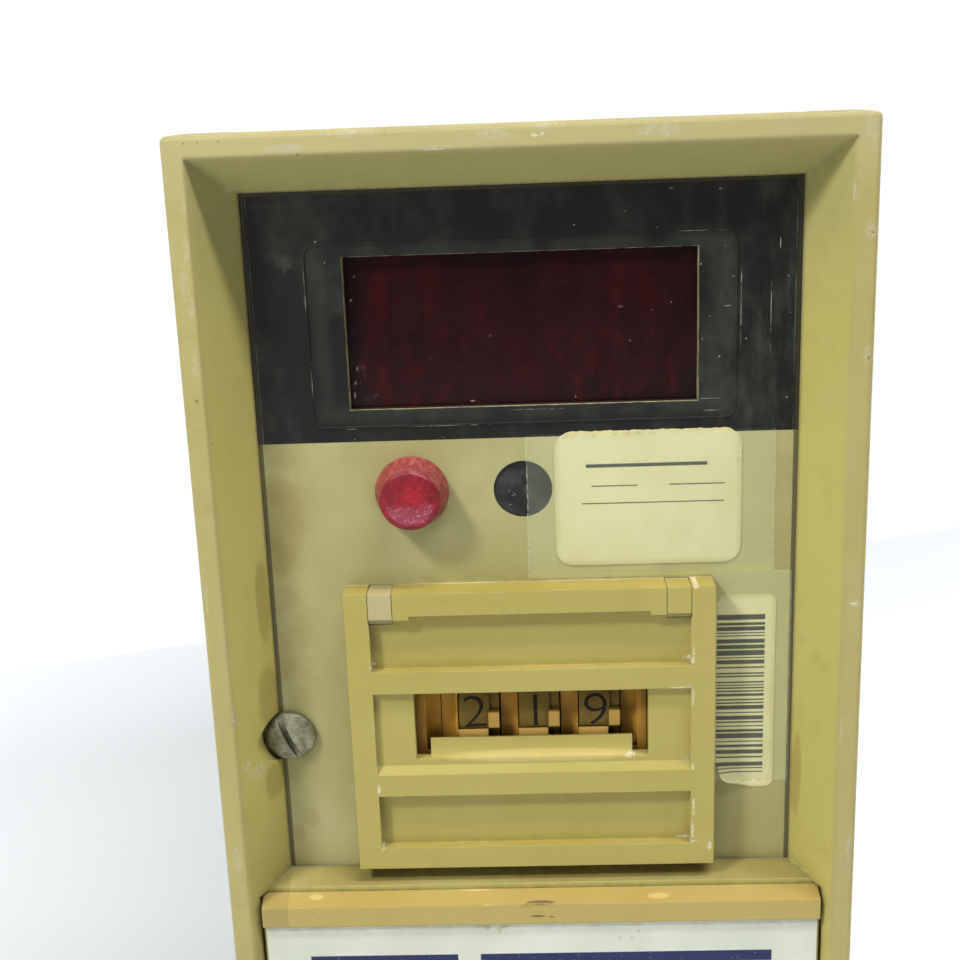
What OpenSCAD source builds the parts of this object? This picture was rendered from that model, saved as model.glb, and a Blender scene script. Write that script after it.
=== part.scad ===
// Panel-mounted temperature controller: a moulded bezel with a recessed face, a display window,
// a lamp, a three-digit thumbwheel switch, a drop-down door over the trimmers, and a steel case.
// Frame: +Z up, +Y into the panel, origin at the middle of the bezel's back, on the seating face.

/* [Bezel] */
// Width of the bezel
bezel_w = 108; // [102:1:125]
// Height of the bezel
bezel_h = 184; // [178:1:205]
// Width of the flat rim
rim_w = 3.4; // [2.5:0.1:4.5]
// How far the inner slope comes in
slope_run = 6.2; // [5:0.1:7.5]
// Depth of the face below the rim
recess_d = 10; // [9:0.5:13]
// Depth of the bezel behind the face
back_d = 4; // [4:0.5:8]
// Radius of the bezel's outer corners
corner_r = 1.2; // [0.6:0.1:3]
// Bevel round the rim's outer edge
rim_bevel = 0.4; // [0.2:0.1:0.8]
// Height of the bar between the face and the door
sill_h = 5; // [4.5:0.5:8]
// How far the bar's top falls towards the front
sill_fall = 1; // [0.5:0.1:1.5]

/* [Face] */
// How far the face's fittings sit from the middle
fittings_x = -0.35; // [-1:0.05:1]
// Thickness of the face panel
panel_t = 1.5; // [1.2:0.1:2]
// Thickness of the printed film on it
film_t = 0.3; // [0.2:0.05:0.4]
// Width of the display window
window_w = 57.1; // [50:0.5:62]
// Height of the display window
window_h = 25.1; // [20:0.5:27]
// Top of the face to the top of the window
window_drop = 10.4; // [8:0.2:12]
// Width of the embossed frame round the window
emboss_w = 69.6; // [67:0.2:72]
// Height of the embossed frame
emboss_h = 30.4; // [29:0.2:32]
// Size of the ridge of the embossed frame
emboss_ridge = 0.3; // [0.15:0.05:0.5]

/* [Lamps] */
// Height of the band that holds the lamps
lamp_band = 30.5; // [28:0.5:36]
// Lamp left of the middle
lamp_x = -19.4; // [-24:0.2:-15]
// Radius of the lamp lens at the face
lens_r = 6.2; // [5.8:0.1:6.6]
// Radius of the lamp lens at its front
lens_front_r = 5; // [4.4:0.1:5.4]
// How far the lens stands out of the face
lens_l = 5.8; // [4:0.2:7]
// Second window left of the middle
spare_x = -0.8; // [-3:0.2:2]
// Radius of the second window
spare_r = 4.9; // [4:0.1:5.5]

/* [Thumbwheel switch] */
// Width of the switch frame
frame_w = 62.2; // [60:0.2:66]
// Height of the switch frame
frame_h = 51.4; // [50:0.2:53]
// How far the frame stands out of the face
frame_d = 5.2; // [4.8:0.2:5.6]
// Switch frame above the bottom of the face
frame_lift = 2; // [1:0.2:4]
// Width of the frame's bars
frame_bar = 4.05; // [3.6:0.05:4.4]
// Depth of the frame's pockets
pocket_d = 1.8; // [1.4:0.1:2]
// Height of the upper and lower pockets
pocket_h = 10; // [9:0.2:10.4]
// Width of the opening over the wheels
slot_w = 40.1; // [39.6:0.1:42]
// Pitch of the wheels
wheel_pitch = 10.4; // [10.2:0.05:10.6]
// Radius of the digit drum
drum_r = 10; // [9.4:0.1:10.4]
// Height of the wheel's thumb lugs
lug_h = 1; // [0.6:0.1:1.2]
// Number of digits on a wheel
digits = 10; // [8:1:12]
// Height of the switch bodies
switch_h = 33; // [32:0.5:38]
// Depth of the switch bodies
switch_d = 29; // [27:0.5:34]

/* [Door] */
// Thickness of the door
door_t = 3.4; // [3:0.1:4]
// Door's front below the rim
door_d = 0.9; // [0.5:0.1:1.5]
// Height of the door's top lip
lip_h = 3.8; // [3:0.1:5]
// How far the top of the lip rises to the back
lip_rise = 1.2; // [0.6:0.1:1.6]
// Gap at each end of the door
door_gap = 0.5; // [0.3:0.1:0.8]
// Thickness of the door's card
card_t = 0.5; // [0.3:0.1:0.8]
// Radius of the hinge pins
pin_r = 0.9; // [0.7:0.05:1]
// Pitch of the trimmers
trimmer_pitch = 24; // [20:1:26]
// Radius of a trimmer knob
knob_r = 3; // [2.6:0.1:3.6]

/* [Case] */
// Width of the bezel's seating face beside the case
seat_w = 5; // [4.5:0.1:6]
// Height of the seating face above and below the case
seat_h = 7; // [6.5:0.1:9]
// Length of the case behind the seating face
case_d = 165; // [155:1:190]
// Thickness of the case's sheet
sheet_t = 1.2; // [0.8:0.1:1.5]
// Radius of the case's bends
bend_r = 2; // [1.6:0.1:3]
// Width of the flange at the back of the case
flange_w = 7; // [6:0.5:9]
// Number of vent slots in a row
vents = 9; // [5:1:11]
// Number of terminals
terminals = 10; // [6:1:12]
// Pitch of the terminals
terminal_pitch = 10; // [9:0.1:11]

/* [Mounting] */
// Thickness of the mounting bracket's sheet
bracket_t = 1.5; // [1.2:0.1:2]
// Height of the mounting bracket
bracket_h = 32; // [28:1:40]
// Radius of the jack screws
jack_r = 2; // [1.6:0.1:2.2]
// Thickness of the instrument panel that is clamped
clamp_t = 3; // [1.5:0.5:6]

/* [Hidden] */
$fn = 64;
// Small overshoot of a cut
eps = 0.5;
// Gap between pieces that slip together
fit = 0.3;
// Gap all round a turning shaft
run_gap = 0.05;

// Depths below the rim's front become places along Y
bezel_d = recess_d + back_d;
function at(depth) = depth - bezel_d;
face_y = at(recess_d);
panel_y = face_y + film_t;
panel_back = panel_y + panel_t;

// Edges of the face, which is as tall as the window, the lamps and the switch need
view_w = bezel_w - 2 * (rim_w + slope_run);
view_h = window_drop + window_h + lamp_band + frame_h + frame_lift;
view_top = bezel_h / 2 - rim_w - slope_run;
view_bottom = view_top - view_h;
sill_bottom = view_bottom - sill_h;
plate_lap = 1.2;
plate_w = view_w + 2 * plate_lap;
plate_top = view_top + plate_lap;
plate_split = view_bottom - plate_lap - 1;

// Door and its hinge, at the middle of the door's thickness
door_open_w = bezel_w - 2 * (rim_w + 1.3);
door_w = door_open_w - 2 * door_gap;
door_y = [at(door_d), at(door_d + door_t)];
door_back_y = door_y[1] + 0.2;
rim_floor = -bezel_h / 2 + rim_w;
hinge_clear = 0.4;
hinge_y = (door_y[0] + door_y[1]) / 2;
hinge_z = rim_floor + hinge_clear + door_t / 2;
door_top = view_bottom - 3.2;
card_inset = 0.6;
card_z = [hinge_z + door_t / 2 + 1, door_top - lip_h];
pin_l = 2.2;

// Display
window_z = view_top - window_drop - window_h / 2;
filter_lap = 3;
filter_t = 2;
filter_y = [panel_back, panel_back + filter_t];
digit_count = 4;
digit_pitch = window_w / 4.5;
digit_h = 19;
digit_t = 5;
digit_y = [filter_y[1] + fit, filter_y[1] + fit + digit_t];
board_t = 1.6;
display_w = window_w + 16;
display_h = window_h + 9;
post_r = 2.5;
thin_post_r = 1.65;
post_in = 2.6;

// Lamp row
lamp_z = view_bottom + frame_lift + frame_h + lamp_band * 0.531;
lens_wall = 0.9;
skirt_r = 5.4;
holder_l = 16;
bulb_r = 2.9;

// Retaining screw and the bracket that it is tapped into
screw_x = -(view_w / 2 - 1.5);
screw_z = view_bottom + 25.9;
screw_head_r = 4.35;
screw_head_h = 2.6;
screw_r = 2.1;
anchor_y = 12;
anchor_t = 2;

// Thumbwheel switch, whose stack of bodies is held behind the frame
frame_x = fittings_x;
frame_z = view_bottom + frame_lift + frame_h / 2;
frame_y = [face_y - frame_d, face_y];
frame_top = frame_z + frame_h / 2;
frame_floor = frame_y[0] + pocket_d;
wheel_count = 3;
stack_w = wheel_count * wheel_pitch;
stack_x = frame_x - 0.15;
lug_r = drum_r + lug_h;
wheel_y = frame_floor + 0.4 + lug_r;
wheel_z = frame_top - 23.15;
wheel_turn = 7.5;
bore_r = 2;
body_y = [frame_floor + 1.5, frame_floor + 1.5 + switch_d];
module_gap = 0.15;
scoop_w = 3;
drum_w = 5.2;
end_w = (slot_w - stack_w) / 2 - module_gap;
rod_r = 1.5;
rod_up = switch_h / 2 - 3.5;
rod_y = body_y[1] - 4;
relief_r = lug_r + 0.25;
digit_ledge = 3.3;
mid_top = frame_top - 2 * frame_bar - pocket_h;
mid_bottom = frame_z - frame_h / 2 + 2 * frame_bar + pocket_h;
ramp_top = wheel_z - 4.4;
clip_w = 4;
clip_reach = 1.6;
side_d = 1.0;
clip_x = [frame_x - frame_w / 2 + frame_bar, frame_x + frame_w / 2 - frame_bar - clip_w];

// Case
case_w = bezel_w - 2 * seat_w;
case_h = bezel_h - 2 * seat_h;
rebate_d = 3;
case_y = [fit / 2 - rebate_d, case_d];
case_in_w = case_w - 2 * sheet_t;
case_in_h = case_h - 2 * sheet_t;
cover_t = 1.5;
cover_y = [case_d - cover_t, case_d];
flange_y = [cover_y[0] - sheet_t, cover_y[0]];
rear_screw_r = 1.5;
rear_screw_x = case_in_w / 2 - flange_w / 2;
rear_screw_z = case_in_h / 2 - flange_w / 2;
block_w = 22;
block_h = terminals * terminal_pitch + 4;
block_y = [case_d, case_d + 5];
barrier_d = 9;

// Trimmers behind the door
trimmers = 3;

// Chassis trays and the boards between them
tray_w = case_in_w - 7;
tray_z = case_in_h / 2 - 2.3;
tray_fold = 5;
tray_y = [panel_back, case_d - 26];
boards_x = 18;
boards_y = [body_y[1] + 18, case_d - 17];
boards_h = 2 * (tray_z - sheet_t);
board_top = boards_h / 2;
tongue_h = 66;
tongue_l = 7;
board_face = boards_x + board_t / 2;

// Transformer: the size of its core and the corner that it stands from
core = [14, 40, 40];
core_at = [-board_face - 4 - core[0], boards_y[1] - core[1] - 6, 18 - board_top];

// Relay, capacitors and heat sink on the power board
relay_h = 28;
relay_l = 22;
relay_at = [boards_y[0] + 22, 32 - board_top];
can_r = 8;
can_l = 22.4;
sink_z = [board_top - 54, board_top - 18];
sink_y = [boards_y[1] - 46, boards_y[1] - 10];
sink_l = 21;
fins = 8;

// Trimmer bodies and their board
trimmer_z = (sill_bottom - view_top) / 2;
pot_size = 10;
pot_y = [panel_back + 5.2, panel_back + 14.2];
trimmer_board_y = [pot_y[1], pot_y[1] + board_t];
trimmer_board_w = (trimmers - 1) * trimmer_pitch + 28;
shaft_r = 1.5;

// Mounting bracket
slot_y = [24, 28];
slot_z = [5, 11];
bracket_y = [20, 52];
jack_x = case_w / 2 + 5;
jack_y = [clamp_t, bracket_y[1] + 8];

// A block between two places on each axis
module slab(x, y, z) {
    translate([x[0], y[0], z[0]])
        cube([x[1] - x[0], y[1] - y[0], z[1] - z[0]]);
}

// A round bar along Y, between two places
module rod_y(r, y, x = 0, z = 0) {
    translate([x, y[0], z])
        rotate([-90, 0, 0])
            cylinder(r = r, h = y[1] - y[0]);
}

// A round bar along X, between two places
module rod_x(r, x, y = 0, z = 0) {
    translate([x[0], y, z])
        rotate([0, 90, 0])
            cylinder(r = r, h = x[1] - x[0]);
}

// A rectangle with round corners, about its middle
module round_rect(w, h, r) {
    square([w - 2 * r, h], center = true);
    square([w, h - 2 * r], center = true);
    for (sx = [-1, 1], sz = [-1, 1])
        translate([sx * (w / 2 - r), sz * (h / 2 - r)])
            circle(r = r);
}

// A rounded plate across Y, between two places
module round_plate(w, h, r, y, x = 0, z = 0) {
    translate([x, y[1], z])
        rotate([90, 0, 0])
            linear_extrude(y[1] - y[0])
                round_rect(w, h, r);
}

// A flat shape in [Y, Z], drawn out along X
module along_x(x) {
    translate([x[0], 0, 0])
        rotate([90, 0, 90])
            linear_extrude(x[1] - x[0])
                children();
}

// A profile of [Y, Z] points, drawn out along X
module prism_x(points, x) {
    along_x(x)
        polygon(points);
}

// A profile of [X, Y] points, drawn out along Z
module prism_z(points, z) {
    translate([0, 0, z[0]])
        linear_extrude(z[1] - z[0])
            polygon(points);
}

// A turned piece about Y: points are [radius, distance towards the front]
module turned(points, x, y, z) {
    translate([x, y, z])
        rotate([90, 0, 0])
            rotate_extrude()
                polygon(points);
}

// Outside of the bezel, with its bevelled rim
module bezel_block() {
    w = bezel_w / 2;
    h = bezel_h / 2;
    b = rim_bevel;
    intersection() {
        round_plate(bezel_w, bezel_h, corner_r, [-bezel_d, 0]);
        prism_z([[-w, 0], [w, 0], [w, b - bezel_d], [w - b, -bezel_d], [b - w, -bezel_d],
            [-w, b - bezel_d]], [-h, h]);
        prism_x([[0, -h], [0, h], [b - bezel_d, h], [-bezel_d, h - b], [-bezel_d, b - h],
            [b - bezel_d, -h]], [-w, w]);
    }
}

// Hollow in front of the face, with sloping sides and a sloping top
module bezel_recess() {
    in_w = bezel_w / 2 - rim_w;
    in_h = bezel_h / 2 - rim_w;
    spread = slope_run / recess_d * eps;
    intersection() {
        prism_z([[-in_w - spread, -bezel_d - eps], [in_w + spread, -bezel_d - eps],
            [view_w / 2, face_y], [-view_w / 2, face_y]], [-bezel_h, bezel_h]);
        prism_x([[-bezel_d - eps, in_h + spread], [face_y, view_top], [face_y, view_bottom],
            [door_back_y, view_bottom - sill_fall], [door_back_y, rim_floor],
            [-bezel_d - eps, rim_floor]], [-bezel_w, bezel_w]);
    }
}

module bezel() {
    door_x = door_open_w / 2;
    color([0.70, 0.65, 0.42])
    difference() {
        bezel_block();
        bezel_recess();
        slab([-door_x, door_x], [-bezel_d - eps, door_back_y],
            [rim_floor, door_top + lip_rise + fit]);
        slab([-view_w / 2, view_w / 2], [door_back_y - eps, eps], [-view_top, sill_bottom]);
        slab([-plate_w / 2 - 0.4, plate_w / 2 + 0.4], [face_y - fit, eps],
            [-plate_top - 0.4, plate_top + 0.4]);
        slab([-case_w / 2 - fit / 2, case_w / 2 + fit / 2], [-rebate_d, eps],
            [-case_h / 2 - fit / 2, case_h / 2 + fit / 2]);
        rod_y(screw_head_r + 0.5, [at(2), face_y], screw_x, screw_z);
        for (side = [-1, 1])
            rod_x(pin_r, [side * (door_x + pin_l / 2) - pin_l / 2 - (side > 0 ? eps : 0),
                side * (door_x + pin_l / 2) + pin_l / 2 + (side > 0 ? 0 : eps)],
                hinge_y, hinge_z);
    }
}

// Rows of vent slots, cut along the axis that crosses the wall
module vent_row(length, pitch, turn) {
    for (i = [0 : vents - 1])
        translate([0, case_d * 0.4 + i * pitch, 0])
            rotate([0, turn, 0])
                slab([-length / 2, length / 2], [-1.5, 1.5], [-bezel_h, bezel_h]);
}

module case_sleeve() {
    pitch = case_d * 0.05;
    color([0.62, 0.63, 0.60])
    difference() {
        round_plate(case_w, case_h, bend_r, case_y);
        difference() {
            round_plate(case_in_w, case_in_h, bend_r - sheet_t, [case_y[0] - eps, cover_y[1] + eps]);
            difference() {
                slab([-case_w / 2, case_w / 2], flange_y, [-case_h / 2, case_h / 2]);
                slab([flange_w - case_in_w / 2, case_in_w / 2 - flange_w],
                    [flange_y[0] - eps, flange_y[1] + eps],
                    [flange_w - case_in_h / 2, case_in_h / 2 - flange_w]);
            }
        }
        vent_row(case_w * 0.55, pitch, 0);
        vent_row(case_h * 0.4, pitch, 90);
        for (side = [-1, 1], up = [-1, 1])
            slab([side * case_w / 2 - 2 * sheet_t, side * case_w / 2 + 2 * sheet_t], slot_y,
                up > 0 ? slot_z : [-slot_z[1], -slot_z[0]]);
        for (sx = [-1, 1], sz = [-1, 1])
            rod_y(rear_screw_r + 0.1, [flange_y[0] - eps, cover_y[1]],
                sx * rear_screw_x, sz * rear_screw_z);
    }
}

module rear_cover() {
    color([0.60, 0.61, 0.58])
    difference() {
        round_plate(case_in_w - 2 * fit, case_in_h - 2 * fit, bend_r - sheet_t, cover_y);
        for (side = [-1, 1])
            slab([side * boards_x - 4, side * boards_x + 4], [cover_y[0] - eps, cover_y[1] + eps],
                [block_h / 2 + 4, block_h / 2 + 14]);
        for (sx = [-1, 1], sz = [-1, 1])
            rod_y(rear_screw_r + 0.1, [cover_y[0] - eps, cover_y[1] + eps],
                sx * rear_screw_x, sz * rear_screw_z);
    }
}

// A slotted screw along Y with its domed head at the back
module rear_screw(r, head_r, head_h, y, x, z) {
    difference() {
        union() {
            rod_y(r, [y[0], y[1] + eps], x, z);
            intersection() {
                rod_y(head_r, [y[1], y[1] + head_h], x, z);
                translate([x, y[1] + head_h - 2 * head_r, z])
                    sphere(r = 2 * head_r);
            }
        }
        slab([x - head_r, x + head_r], [y[1] + head_h * 0.5, y[1] + head_h + eps],
            [z - head_r * 0.14, z + head_r * 0.14]);
    }
}

module rear_screws() {
    color([0.72, 0.72, 0.70])
    for (sx = [-1, 1], sz = [-1, 1])
        rear_screw(rear_screw_r, 2.8, 1.6, [flange_y[0] - 3, cover_y[1]],
            sx * rear_screw_x, sz * rear_screw_z);
}

function terminal_z(i) = (i - (terminals - 1) / 2) * terminal_pitch;

module terminal_block() {
    color([0.12, 0.11, 0.10])
    difference() {
        union() {
            slab([-block_w / 2, block_w / 2], block_y, [-block_h / 2, block_h / 2]);
            for (i = [0 : terminals])
                slab([-block_w / 2, block_w / 2], [block_y[0], block_y[1] + barrier_d],
                    [terminal_z(i - 0.5) - 0.9, terminal_z(i - 0.5) + 0.9]);
        }
        for (i = [0 : terminals - 1])
            rod_y(1.6, [block_y[0] + 1, block_y[1] + eps], 0, terminal_z(i));
    }
}

module terminal_plates() {
    color([0.75, 0.72, 0.55])
    for (i = [0 : terminals - 1])
        difference() {
            slab([-block_w / 2 + 2, block_w / 2 - 2], [block_y[1], block_y[1] + 1],
                [terminal_z(i) - terminal_pitch * 0.38, terminal_z(i) + terminal_pitch * 0.38]);
            rod_y(1.6, [block_y[1] - eps, block_y[1] + 2], 0, terminal_z(i));
        }
}

module terminal_screws() {
    color([0.80, 0.80, 0.76])
    for (i = [0 : terminals - 1])
        rear_screw(1.5, 3.1, 2, [block_y[0] + 2, block_y[1] + 1], 0, terminal_z(i));
}

// Sockets inside the back cover that take the boards' tongues
module edge_connectors() {
    color([0.15, 0.30, 0.22])
    for (side = [-1, 1])
        difference() {
            slab([side * boards_x - 5, side * boards_x + 5], [boards_y[1] + 0.5, cover_y[0]],
                [-tongue_h / 2 - 5, tongue_h / 2 + 5]);
            slab([side * boards_x - board_t / 2 - 0.1, side * boards_x + board_t / 2 + 0.1],
                [boards_y[1], boards_y[1] + tongue_l + 0.5], [-tongue_h / 2 - 0.2, tongue_h / 2 + 0.2]);
        }
}

// Mounting bracket on the right: a plate with two hooks in the case's slots and a tapped ear
module bracket() {
    wall = case_w / 2;
    color([0.66, 0.67, 0.64])
    difference() {
        union() {
            slab([wall, wall + bracket_t], bracket_y, [-bracket_h / 2, bracket_h / 2]);
            slab([wall, jack_x + 4.5], [bracket_y[1] - bracket_t, bracket_y[1]], [-8, 8]);
            for (z = [slot_z, [-slot_z[1], -slot_z[0]]]) {
                hook_z = [z[0] + 0.2, z[1] - 0.2];
                slab([wall - sheet_t - 1.5, wall + eps], [slot_y[0] + 0.2, slot_y[0] + 1.7], hook_z);
                slab([wall - sheet_t - 1.5, wall - sheet_t - 0.2],
                    [slot_y[0] + 0.2, slot_y[1] + 3], hook_z);
            }
        }
        rod_y(jack_r + run_gap, [bracket_y[1] - 3, bracket_y[1] + eps], jack_x, 0);
    }
}

module bracket_left() {
    mirror([1, 0, 0])
        bracket();
}

module bracket_right() {
    bracket();
}

module jack_screws() {
    color([0.70, 0.70, 0.68])
    for (side = [-1, 1])
        rear_screw(jack_r, 3.5, 2.4, jack_y, side * jack_x, 0);
}

// Cut-outs that the face panel and its film share
module face_cuts(y) {
    cut = [y[0] - eps, y[1] + eps];
    slab([fittings_x - window_w / 2, fittings_x + window_w / 2], cut,
        [window_z - window_h / 2, window_z + window_h / 2]);
    rod_y(skirt_r + fit, cut, lamp_x, lamp_z);
    rod_y(spare_r, cut, spare_x, lamp_z);
    slab([stack_x - slot_w / 2 - 0.6, stack_x + slot_w / 2 + 0.6], cut,
        [wheel_z - switch_h / 2 - 0.6, wheel_z + switch_h / 2 + 0.6]);
    for (x = clip_x)
        slab([x - 0.2, x + clip_w + 0.2], cut, [frame_top - 1.9, frame_top - 0.1]);
    rod_y(screw_r + fit, cut, screw_x, screw_z);
    slab([-plate_w, screw_x], cut, [screw_z - screw_r - fit, screw_z + screw_r + fit]);
}

module face_panel() {
    color([0.80, 0.78, 0.62])
    difference() {
        slab([-plate_w / 2, plate_w / 2], [panel_y, panel_back], [plate_split, plate_top]);
        face_cuts([panel_y, panel_back]);
    }
}

// Printed film, with the embossed frame round the window as a raised ridge
module face_film() {
    color([0.14, 0.14, 0.13])
    union() {
        difference() {
            slab([-plate_w / 2, plate_w / 2], [face_y, panel_y], [plate_split, plate_top]);
            face_cuts([face_y, panel_y]);
        }
        difference() {
            round_plate(emboss_w, emboss_h, 2, [face_y - emboss_ridge * 0.5, panel_y],
                fittings_x, window_z - 0.4);
            round_plate(emboss_w - 2 * emboss_ridge, emboss_h - 2 * emboss_ridge, 2 - emboss_ridge,
                [face_y - 1, panel_y + eps], fittings_x, window_z - 0.4);
        }
    }
}

module display_filter() {
    color([0.25, 0.02, 0.04])
        slab([fittings_x - window_w / 2 - filter_lap, fittings_x + window_w / 2 + filter_lap],
            filter_y, [window_z - window_h / 2 - filter_lap, window_z + window_h / 2 + filter_lap]);
}

function digit_x(i) = fittings_x + (i - (digit_count - 1) / 2) * digit_pitch;

// One seven-segment digit: a block with seven shallow bars and a point in its face
module display_digit(i) {
    bar = digit_h * 0.3;
    w = digit_pitch * 0.28;
    color([0.20, 0.04, 0.04])
    difference() {
        slab([digit_x(i) - digit_pitch / 2 + 0.1, digit_x(i) + digit_pitch / 2 - 0.1], digit_y,
            [window_z - digit_h / 2, window_z + digit_h / 2]);
        for (row = [-1, 0, 1])
            slab([digit_x(i) - w + 1, digit_x(i) + w - 1], [digit_y[0] - eps, digit_y[0] + 0.3],
                [window_z + row * (bar + 1.2) - 0.6, window_z + row * (bar + 1.2) + 0.6]);
        for (side = [-1, 1], up = [0, 1])
            slab([digit_x(i) + side * w - 0.6, digit_x(i) + side * w + 0.6],
                [digit_y[0] - eps, digit_y[0] + 0.3],
                [window_z + up * (bar + 1.2) - bar - 0.2, window_z + up * (bar + 1.2) - 1]);
        rod_y(0.7, [digit_y[0] - eps, digit_y[0] + 0.3], digit_x(i) + w + 1.6, window_z - bar - 1);
    }
}

module display_board() {
    color([0.16, 0.36, 0.20])
    difference() {
        slab([fittings_x - display_w / 2, fittings_x + display_w / 2],
            [digit_y[1], digit_y[1] + board_t], [window_z - display_h / 2, window_z + display_h / 2]);
        for (sx = [-1, 1], sz = [-1, 1])
            rod_y(1, [digit_y[1] - eps, digit_y[1] + board_t + eps],
                fittings_x + sx * (display_w / 2 - post_in),
                window_z + sz * (display_h / 2 - post_in));
    }
}

// Posts that hold the display board and the trimmer board off their panels
module board_posts() {
    color([0.78, 0.78, 0.76]) {
        for (sx = [-1, 1], sz = [-1, 1])
            rod_y(thin_post_r, [panel_back, digit_y[1]],
                fittings_x + sx * (display_w / 2 - post_in),
                window_z + sz * (display_h / 2 - post_in));
        for (sx = [-1, 1])
            rod_y(post_r, [panel_back, trimmer_board_y[0]],
                sx * (trimmer_board_w / 2 - 3), trimmer_z);
    }
}

// Red lens: a tapered cap with a slightly crowned front and a skirt behind the panel
module lamp_lens() {
    color([0.75, 0.08, 0.14])
    turned([[0, lens_l + 0.4], [lens_front_r * 0.6, lens_l + 0.2], [lens_front_r - 0.4, lens_l - 0.1],
        [lens_front_r, lens_l - 0.5], [lens_r, 0], [skirt_r, 0], [skirt_r, -4],
        [skirt_r - lens_wall, -4], [skirt_r - lens_wall, 0.5],
        [lens_front_r - lens_wall, lens_l - 0.8], [0, lens_l - 0.6]], lamp_x, face_y, lamp_z);
}

// Lamp holder: a hexagonal collar on the panel's back and a barrel with the bulb's seat
module lamp_holder() {
    color([0.12, 0.12, 0.12])
    difference() {
        union() {
            translate([lamp_x, panel_back, lamp_z])
                rotate([-90, 0, 0])
                    cylinder(r = skirt_r + 3, h = 2.2, $fn = 6);
            rod_y(skirt_r + 0.4, [panel_back, panel_back + holder_l], lamp_x, lamp_z);
        }
        rod_y(skirt_r + 0.1, [panel_back - eps, face_y + 4.2], lamp_x, lamp_z);
        rod_y(bulb_r + 0.1, [face_y, panel_back + holder_l - 2], lamp_x, lamp_z);
        for (side = [-1, 1])
            rod_y(0.5, [panel_back, panel_back + holder_l + eps], lamp_x + side * 1.5, lamp_z);
    }
}

module neon_bulb() {
    tip = face_y - lens_l + 2;
    base = panel_back + holder_l - 2;
    color([0.90, 0.70, 0.55]) {
        rod_y(bulb_r, [tip + bulb_r, base], lamp_x, lamp_z);
        translate([lamp_x, tip + bulb_r, lamp_z])
            sphere(r = bulb_r);
        for (side = [-1, 1])
            rod_y(0.4, [base - eps, base + 5], lamp_x + side * 1.5, lamp_z);
    }
}

module spare_window() {
    color([0.10, 0.10, 0.11])
    union() {
        rod_y(spare_r - 0.05, [face_y + 0.4, panel_back + 1], spare_x, lamp_z);
        rod_y(spare_r + 1.2, [panel_back, panel_back + 1], spare_x, lamp_z);
    }
}

// Slotted screw with a domed head that holds the chassis in its case
module retaining_screw() {
    head_y = [face_y - screw_head_h, face_y];
    color([0.60, 0.60, 0.56])
    difference() {
        union() {
            rod_y(screw_r, [head_y[1] - eps, anchor_y + anchor_t + 4], screw_x, screw_z);
            intersection() {
                rod_y(screw_head_r, head_y, screw_x, screw_z);
                translate([screw_x, head_y[0] + 1.6 * screw_head_r, screw_z])
                    sphere(r = 1.6 * screw_head_r);
            }
        }
        translate([screw_x, 0, screw_z])
            rotate([0, 65, 0])
                slab([-screw_head_r, screw_head_r], [head_y[0] - eps, head_y[0] + 1.2], [-0.6, 0.6]);
    }
}

module screw_anchor() {
    wall = -case_in_w / 2;
    color([0.62, 0.63, 0.60])
    difference() {
        union() {
            slab([wall, screw_x + 5], [anchor_y, anchor_y + anchor_t], [screw_z - 6, screw_z + 6]);
            slab([wall, wall + 1.2], [anchor_y, anchor_y + 10], [screw_z - 6, screw_z + 6]);
        }
        rod_y(screw_r + run_gap, [anchor_y - eps, anchor_y + anchor_t + eps], screw_x, screw_z);
    }
}

// Points of a smooth bend from a to c, drawn towards b
function bend(a, b, c, steps) = [for (i = [0 : steps]) let (t = i / steps)
    a * (1 - t) * (1 - t) + b * 2 * t * (1 - t) + c * t * t];

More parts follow.
